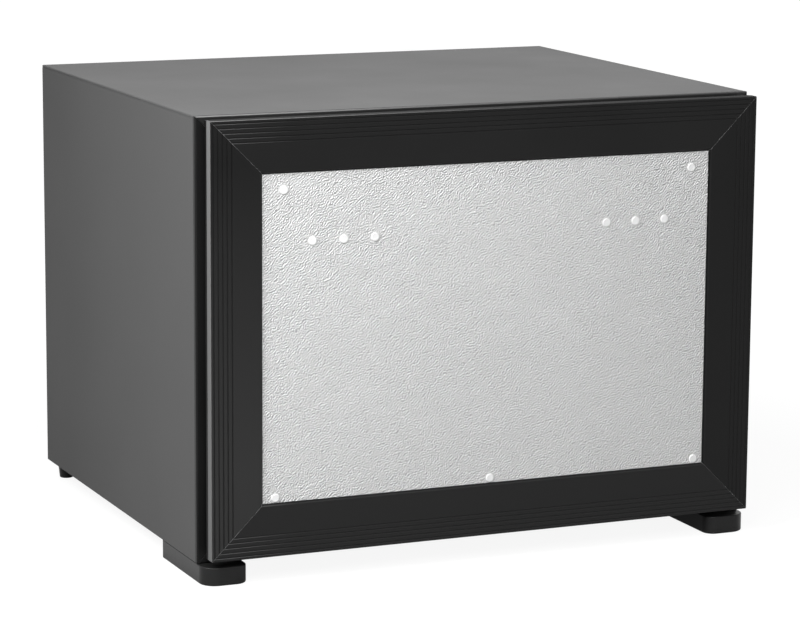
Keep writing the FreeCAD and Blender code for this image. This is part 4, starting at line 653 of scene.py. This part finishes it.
assign(foam_tan, ["cabinet_foam", "front_foam", "evaporator_block", "boiler_wool"])

for piece, edge in (("front_frame", frame_edge), ("cabinet_trim", trim_edge)):
    soften([piece + "_" + side for side in ("top", "bottom", "left", "right")], edge)


# Pieces that the scene builds

def new_piece(name, body, material, build):
    """A piece in the part's frame that rides on a body. The build function fills its mesh."""
    mesh = bpy.data.meshes.new(name)
    shell = bmesh.new()
    build(shell)
    bmesh.ops.recalc_face_normals(shell, faces=shell.faces)
    shell.to_mesh(mesh)
    shell.free()
    mesh.shade_smooth()
    mesh.set_sharp_from_angle(angle=crease_angle)
    mesh.materials.append(material)
    item = bpy.data.objects.new(name, mesh)
    bpy.context.scene.collection.objects.link(item)
    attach(item, body)
    return item


def spread(low, high, step):
    """Evenly spaced values from low to high, at most a step apart."""
    count = math.ceil((high - low) / step)
    return [low + (high - low) * k / count for k in range(count + 1)]


def cap_centres():
    """Where the caps sit on the panel, as x and z, read from their CAD solids."""
    groups = []
    for vertex in nodes["fixing_hole_caps"].data.vertices:
        place = Vector((vertex.co.x, vertex.co.z))
        near = [group for group in groups if (group[0] - place).length < cap_reach]
        if near:
            near[0].append(place)
        else:
            groups.append([place])
    centres = []
    for group in groups:
        spans = [[place[axis] for place in group] for axis in (0, 1)]
        centres.append(Vector([(min(span) + max(span)) / 2 for span in spans]))
    return centres


def ridge(x, z):
    """Height of the panel's relief at a point, from 0 in the hollows to 1 on the ridges."""
    place = Vector((x, 0, z))
    patch = place / patch_size
    patches = (*noise.noise_vector(patch), *noise.noise_vector(patch + patch_offset))
    strays = noise.noise_vector(place / wander_size)
    height = 0.0
    for index, (lean, share) in enumerate(zip(ridge_leans, ridge_shares)):
        strength = max(share + patches[index], 0.0)
        climb = z * math.cos(lean) - x * math.sin(lean)
        turns = climb / ridge_spacing + ridge_wander_share * strays[index % len(strays)]
        height += strength * math.cos(2 * math.pi * turns)
    return min(max(1 / 2 + ridge_gain_share * height, 0.0), 1.0)


def relief(x, z, centres):
    """How far the panel's face lies behind its ridges at a point."""
    gap = min((centre - Vector((x, z))).length for centre in centres)
    calm = min(max((gap - calm_radius) / calm_fade, 0.0), 1.0)
    return emboss_depth * (1 - calm_share + calm * (calm_share - ridge(x, z)))


def panel_grid(shell, centres):
    """The points of the panel's face, row by row, each with its height in the relief."""
    low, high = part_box("front_panel")
    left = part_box("front_frame_left")[1].x - emboss_margin
    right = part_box("front_frame_right")[0].x + emboss_margin
    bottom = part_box("front_frame_bottom")[1].z - emboss_margin
    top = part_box("front_frame_top")[0].z + emboss_margin
    columns = [low.x] + spread(left, right, emboss_step) + [high.x]
    rows = [low.z] + spread(bottom, top, emboss_step) + [high.z]
    height = shell.verts.layers.float.new("relief")
    grid = []
    for z in rows:
        line = []
        for x in columns:
            depth = relief(x, z, centres) if bottom < z < top and left < x < right else 0
            line.append(shell.verts.new((x, low.y + depth, z)))
            line[-1][height] = 1 - depth / emboss_depth
        grid.append(line)
    return columns, rows, grid


def build_panel(shell, centres):
    """The embossed sheet, with relief on its face and open holes under the caps."""
    columns, rows, grid = panel_grid(shell, centres)
    for row in range(len(rows) - 1):
        middle_z = (rows[row] + rows[row + 1]) / 2
        for column in range(len(columns) - 1):
            middle = Vector(((columns[column] + columns[column + 1]) / 2, middle_z))
            if min((centre - middle).length for centre in centres) < hole_radius:
                continue
            lower, upper = grid[row], grid[row + 1]
            shell.faces.new((lower[column], lower[column + 1], upper[column + 1], upper[column]))
    loose = [vertex for vertex in shell.verts if not vertex.link_faces]
    bmesh.ops.delete(shell, geom=loose, context="VERTS")
    rim = [edge for edge in shell.edges if edge.is_boundary]
    walls = bmesh.ops.extrude_edge_only(shell, edges=rim)["geom"]
    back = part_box("front_panel")[1].y
    for vertex in (item for item in walls if isinstance(item, bmesh.types.BMVert)):
        vertex.co.y = back
    back_rim = [item for item in walls if isinstance(item, bmesh.types.BMEdge) and item.is_boundary]
    bmesh.ops.triangle_fill(shell, edges=back_rim, use_beauty=True, use_dissolve=False)


def lathe(shell, profile, segments, place):
    """A closed turned form. The profile is (radius, height) points that start and end on the axis."""
    turns = [2 * math.pi * k / segments for k in range(segments)]
    rings = []
    for radius, height in profile:
        if radius == 0:
            rings.append([shell.verts.new(place(0, 0, height))])
            continue
        points = [(radius * math.cos(turn), radius * math.sin(turn)) for turn in turns]
        rings.append([shell.verts.new(place(u, v, height)) for u, v in points])
    for first, second in zip(rings, rings[1:]):
        for k in range(segments):
            corners = [first[k % len(first)], first[(k + 1) % len(first)],
                       second[(k + 1) % len(second)], second[k % len(second)]]
            shell.faces.new(list(dict.fromkeys(corners)))


def build_caps(shell, centres):
    """Push-in caps with a dished top and a raised rim, on stems in the panel's holes."""
    low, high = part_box("fixing_hole_caps")
    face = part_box("front_panel")[0].y
    radius = (high.x - max(centre.x for centre in centres)) * cap_size_share
    stem_radius = radius * cap_stem_share
    proud = face - low.y
    stem = high.y - face
    seat = -emboss_depth * (1 - calm_share)
    profile = [(across * radius, height * proud) for across, height in cap_shares]
    profile += [(radius, seat), (stem_radius, seat), (stem_radius, -stem), (0, -stem)]
    for centre in centres:
        def place(u, v, height, centre=centre):
            return (centre.x + u, face - height, centre.y + v)
        lathe(shell, profile, cap_segments, place)


def screw_profile(radius, top, foot):
    """A bevelled disc from its top to its foot, as a turned form's profile."""
    return [(0, top), (radius - screw_bevel, top), (radius, top - screw_bevel), (radius, foot), (0, foot)]


def build_screws(shell, places, face):
    """Hexagon screws with a washer flange on a face that looks backwards."""
    flange = screw_profile(flange_radius, flange_height, 0)
    head = screw_profile(hexagon_radius, screw_height, flange_height / 2)
    for x, z in places:
        def place(u, v, height, x=x, z=z):
            return (x + u, face + height, z + v)
        lathe(shell, flange, flange_segments, place)
        lathe(shell, head, hexagon_sides, place)


def corner_places(name, inset):
    """The four corners of a node's rear face, moved inwards."""
    low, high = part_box(name)
    return [(x, z) for x in (low.x + inset, high.x - inset) for z in (low.z + inset, high.z - inset)]


noise.seed_set(relief_seed)
centres = cap_centres()
panel = new_piece("embossed_front_panel", "drawer", panel_film, lambda shell: build_panel(shell, centres))
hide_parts("front_panel")
caps = new_piece("dished_hole_caps", "drawer", cap_white, lambda shell: build_caps(shell, centres))
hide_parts("fixing_hole_caps")
for node, inset in screw_insets.items():
    places = corner_places(node, inset)
    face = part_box(node)[1].y
    new_piece(node + "_screws", "cabinet", screw_metal, lambda shell: build_screws(shell, places, face))


# Floor, light and camera

def seen_rays(tree):
    """1 for camera rays, and 1 for mirrored and transmitted rays. Both see white surroundings."""
    path = add_node(tree, "ShaderNodeLightPath").outputs
    mirrored = calculate(tree, "MAXIMUM", path["Is Glossy Ray"], path["Is Transmission Ray"])
    return path["Is Camera Ray"], mirrored


def beneath_object(tree, point):
    """1 on the floor under the object, falling to 0 just outside it."""
    axes = split(tree, point)
    inside = []
    for axis, low, high in zip("XY", *cad_bounds):
        from_middle = calculate(tree, "SUBTRACT", axes[axis], (low + high) / 2)
        half = (high - low) / 2
        rim = (half - painted_shadow_fade, half + painted_shadow_fade)
        inside.append(remap(tree, calculate(tree, "ABSOLUTE", from_middle), falling, rim))
    return calculate(tree, "MULTIPLY", *inside)


def floor_material():
    """A pale matt surface that glows white where it is seen, and less near the object. Under the object the
    glow that mirrored rays see is dimmed, a painted shadow.
    """
    material, tree, shader = new_material("floor")
    shader.inputs["Base Color"].default_value = (*grey(floor_grey), 1)
    shader.inputs["Roughness"].default_value = floor_roughness
    shader.inputs["Specular IOR Level"].default_value = 0.0
    shader.inputs["Emission Color"].default_value = (*grey(1), 1)
    point = object_point(tree)
    away = add_node(tree, "ShaderNodeVectorMath", {0: point}, operation="LENGTH").outputs["Value"]
    level = remap(tree, away, floor_glow, floor_glow_reach)
    camera, mirrored = seen_rays(tree)
    # painted shadow: under the object, mirrored rays see less of the floor's glow
    painted_shadow = remap(tree, beneath_object(tree, point), (1, painted_shadow_share), rising)
    seen = calculate(tree, "MAXIMUM", camera, calculate(tree, "MULTIPLY", mirrored, painted_shadow))
    tree.links.new(calculate(tree, "MULTIPLY", seen, level), shader.inputs["Emission Strength"])
    return material


def build_floor():
    """A plain pale floor that keeps the object's shadow."""
    near, far = -floor_reach, floor_reach
    mesh = bpy.data.meshes.new("floor")
    corners = [(near, near, 0), (far, near, 0), (far, far, 0), (near, far, 0)]
    mesh.from_pydata(corners, [], [(0, 1, 2, 3)])
    mesh.materials.append(floor_material())
    floor = bpy.data.objects.new("floor", mesh)
    bpy.context.scene.collection.objects.link(floor)


def build_world():
    """White surroundings where they are seen, and a softer fill for everything else."""
    world = bpy.data.worlds.new("world")
    bpy.context.scene.world = world
    world.use_nodes = True
    tree = world.node_tree
    background = tree.nodes["Background"]
    background.inputs["Color"].default_value = (*grey(1), 1)
    seen = calculate(tree, "MAXIMUM", *seen_rays(tree))
    tree.links.new(remap(tree, seen, (world_fill, 1), rising), background.inputs["Strength"])


def add_light(name, place, target, size, power, beam):
    """A soft square lamp aimed at a point, whose light falls off towards the edge of its beam."""
    data = bpy.data.lights.new(name, "AREA")
    data.shape = "SQUARE"
    data.size = size
    data.spread = math.radians(beam)
    data.energy = power
    lamp = bpy.data.objects.new(name, data)
    lamp.location = place
    towards = Vector(target) - Vector(place)
    lamp.rotation_euler = towards.to_track_quat("-Z", "Y").to_euler()
    bpy.context.scene.collection.objects.link(lamp)


def build_camera():
    """The photograph's camera, unshifted."""
    data = bpy.data.cameras.new("camera")
    data.sensor_fit = "HORIZONTAL"
    data.sensor_width = camera_sensor
    data.lens = camera_lens
    data.clip_end = camera_sight
    camera = bpy.data.objects.new("camera", data)
    forward = Vector(camera_forward).normalized()
    right = forward.cross(Vector(camera_up)).normalized()
    up = right.cross(forward)
    turn = Matrix((right, up, -forward)).transposed().to_4x4()
    camera.matrix_world = Matrix.Translation(camera_place) @ turn
    bpy.context.scene.collection.objects.link(camera)
    bpy.context.scene.camera = camera


build_floor()
build_world()
for name, setting in lamps.items():
    add_light(name, *setting)
build_camera()
bpy.context.scene.view_settings.view_transform = "Standard"
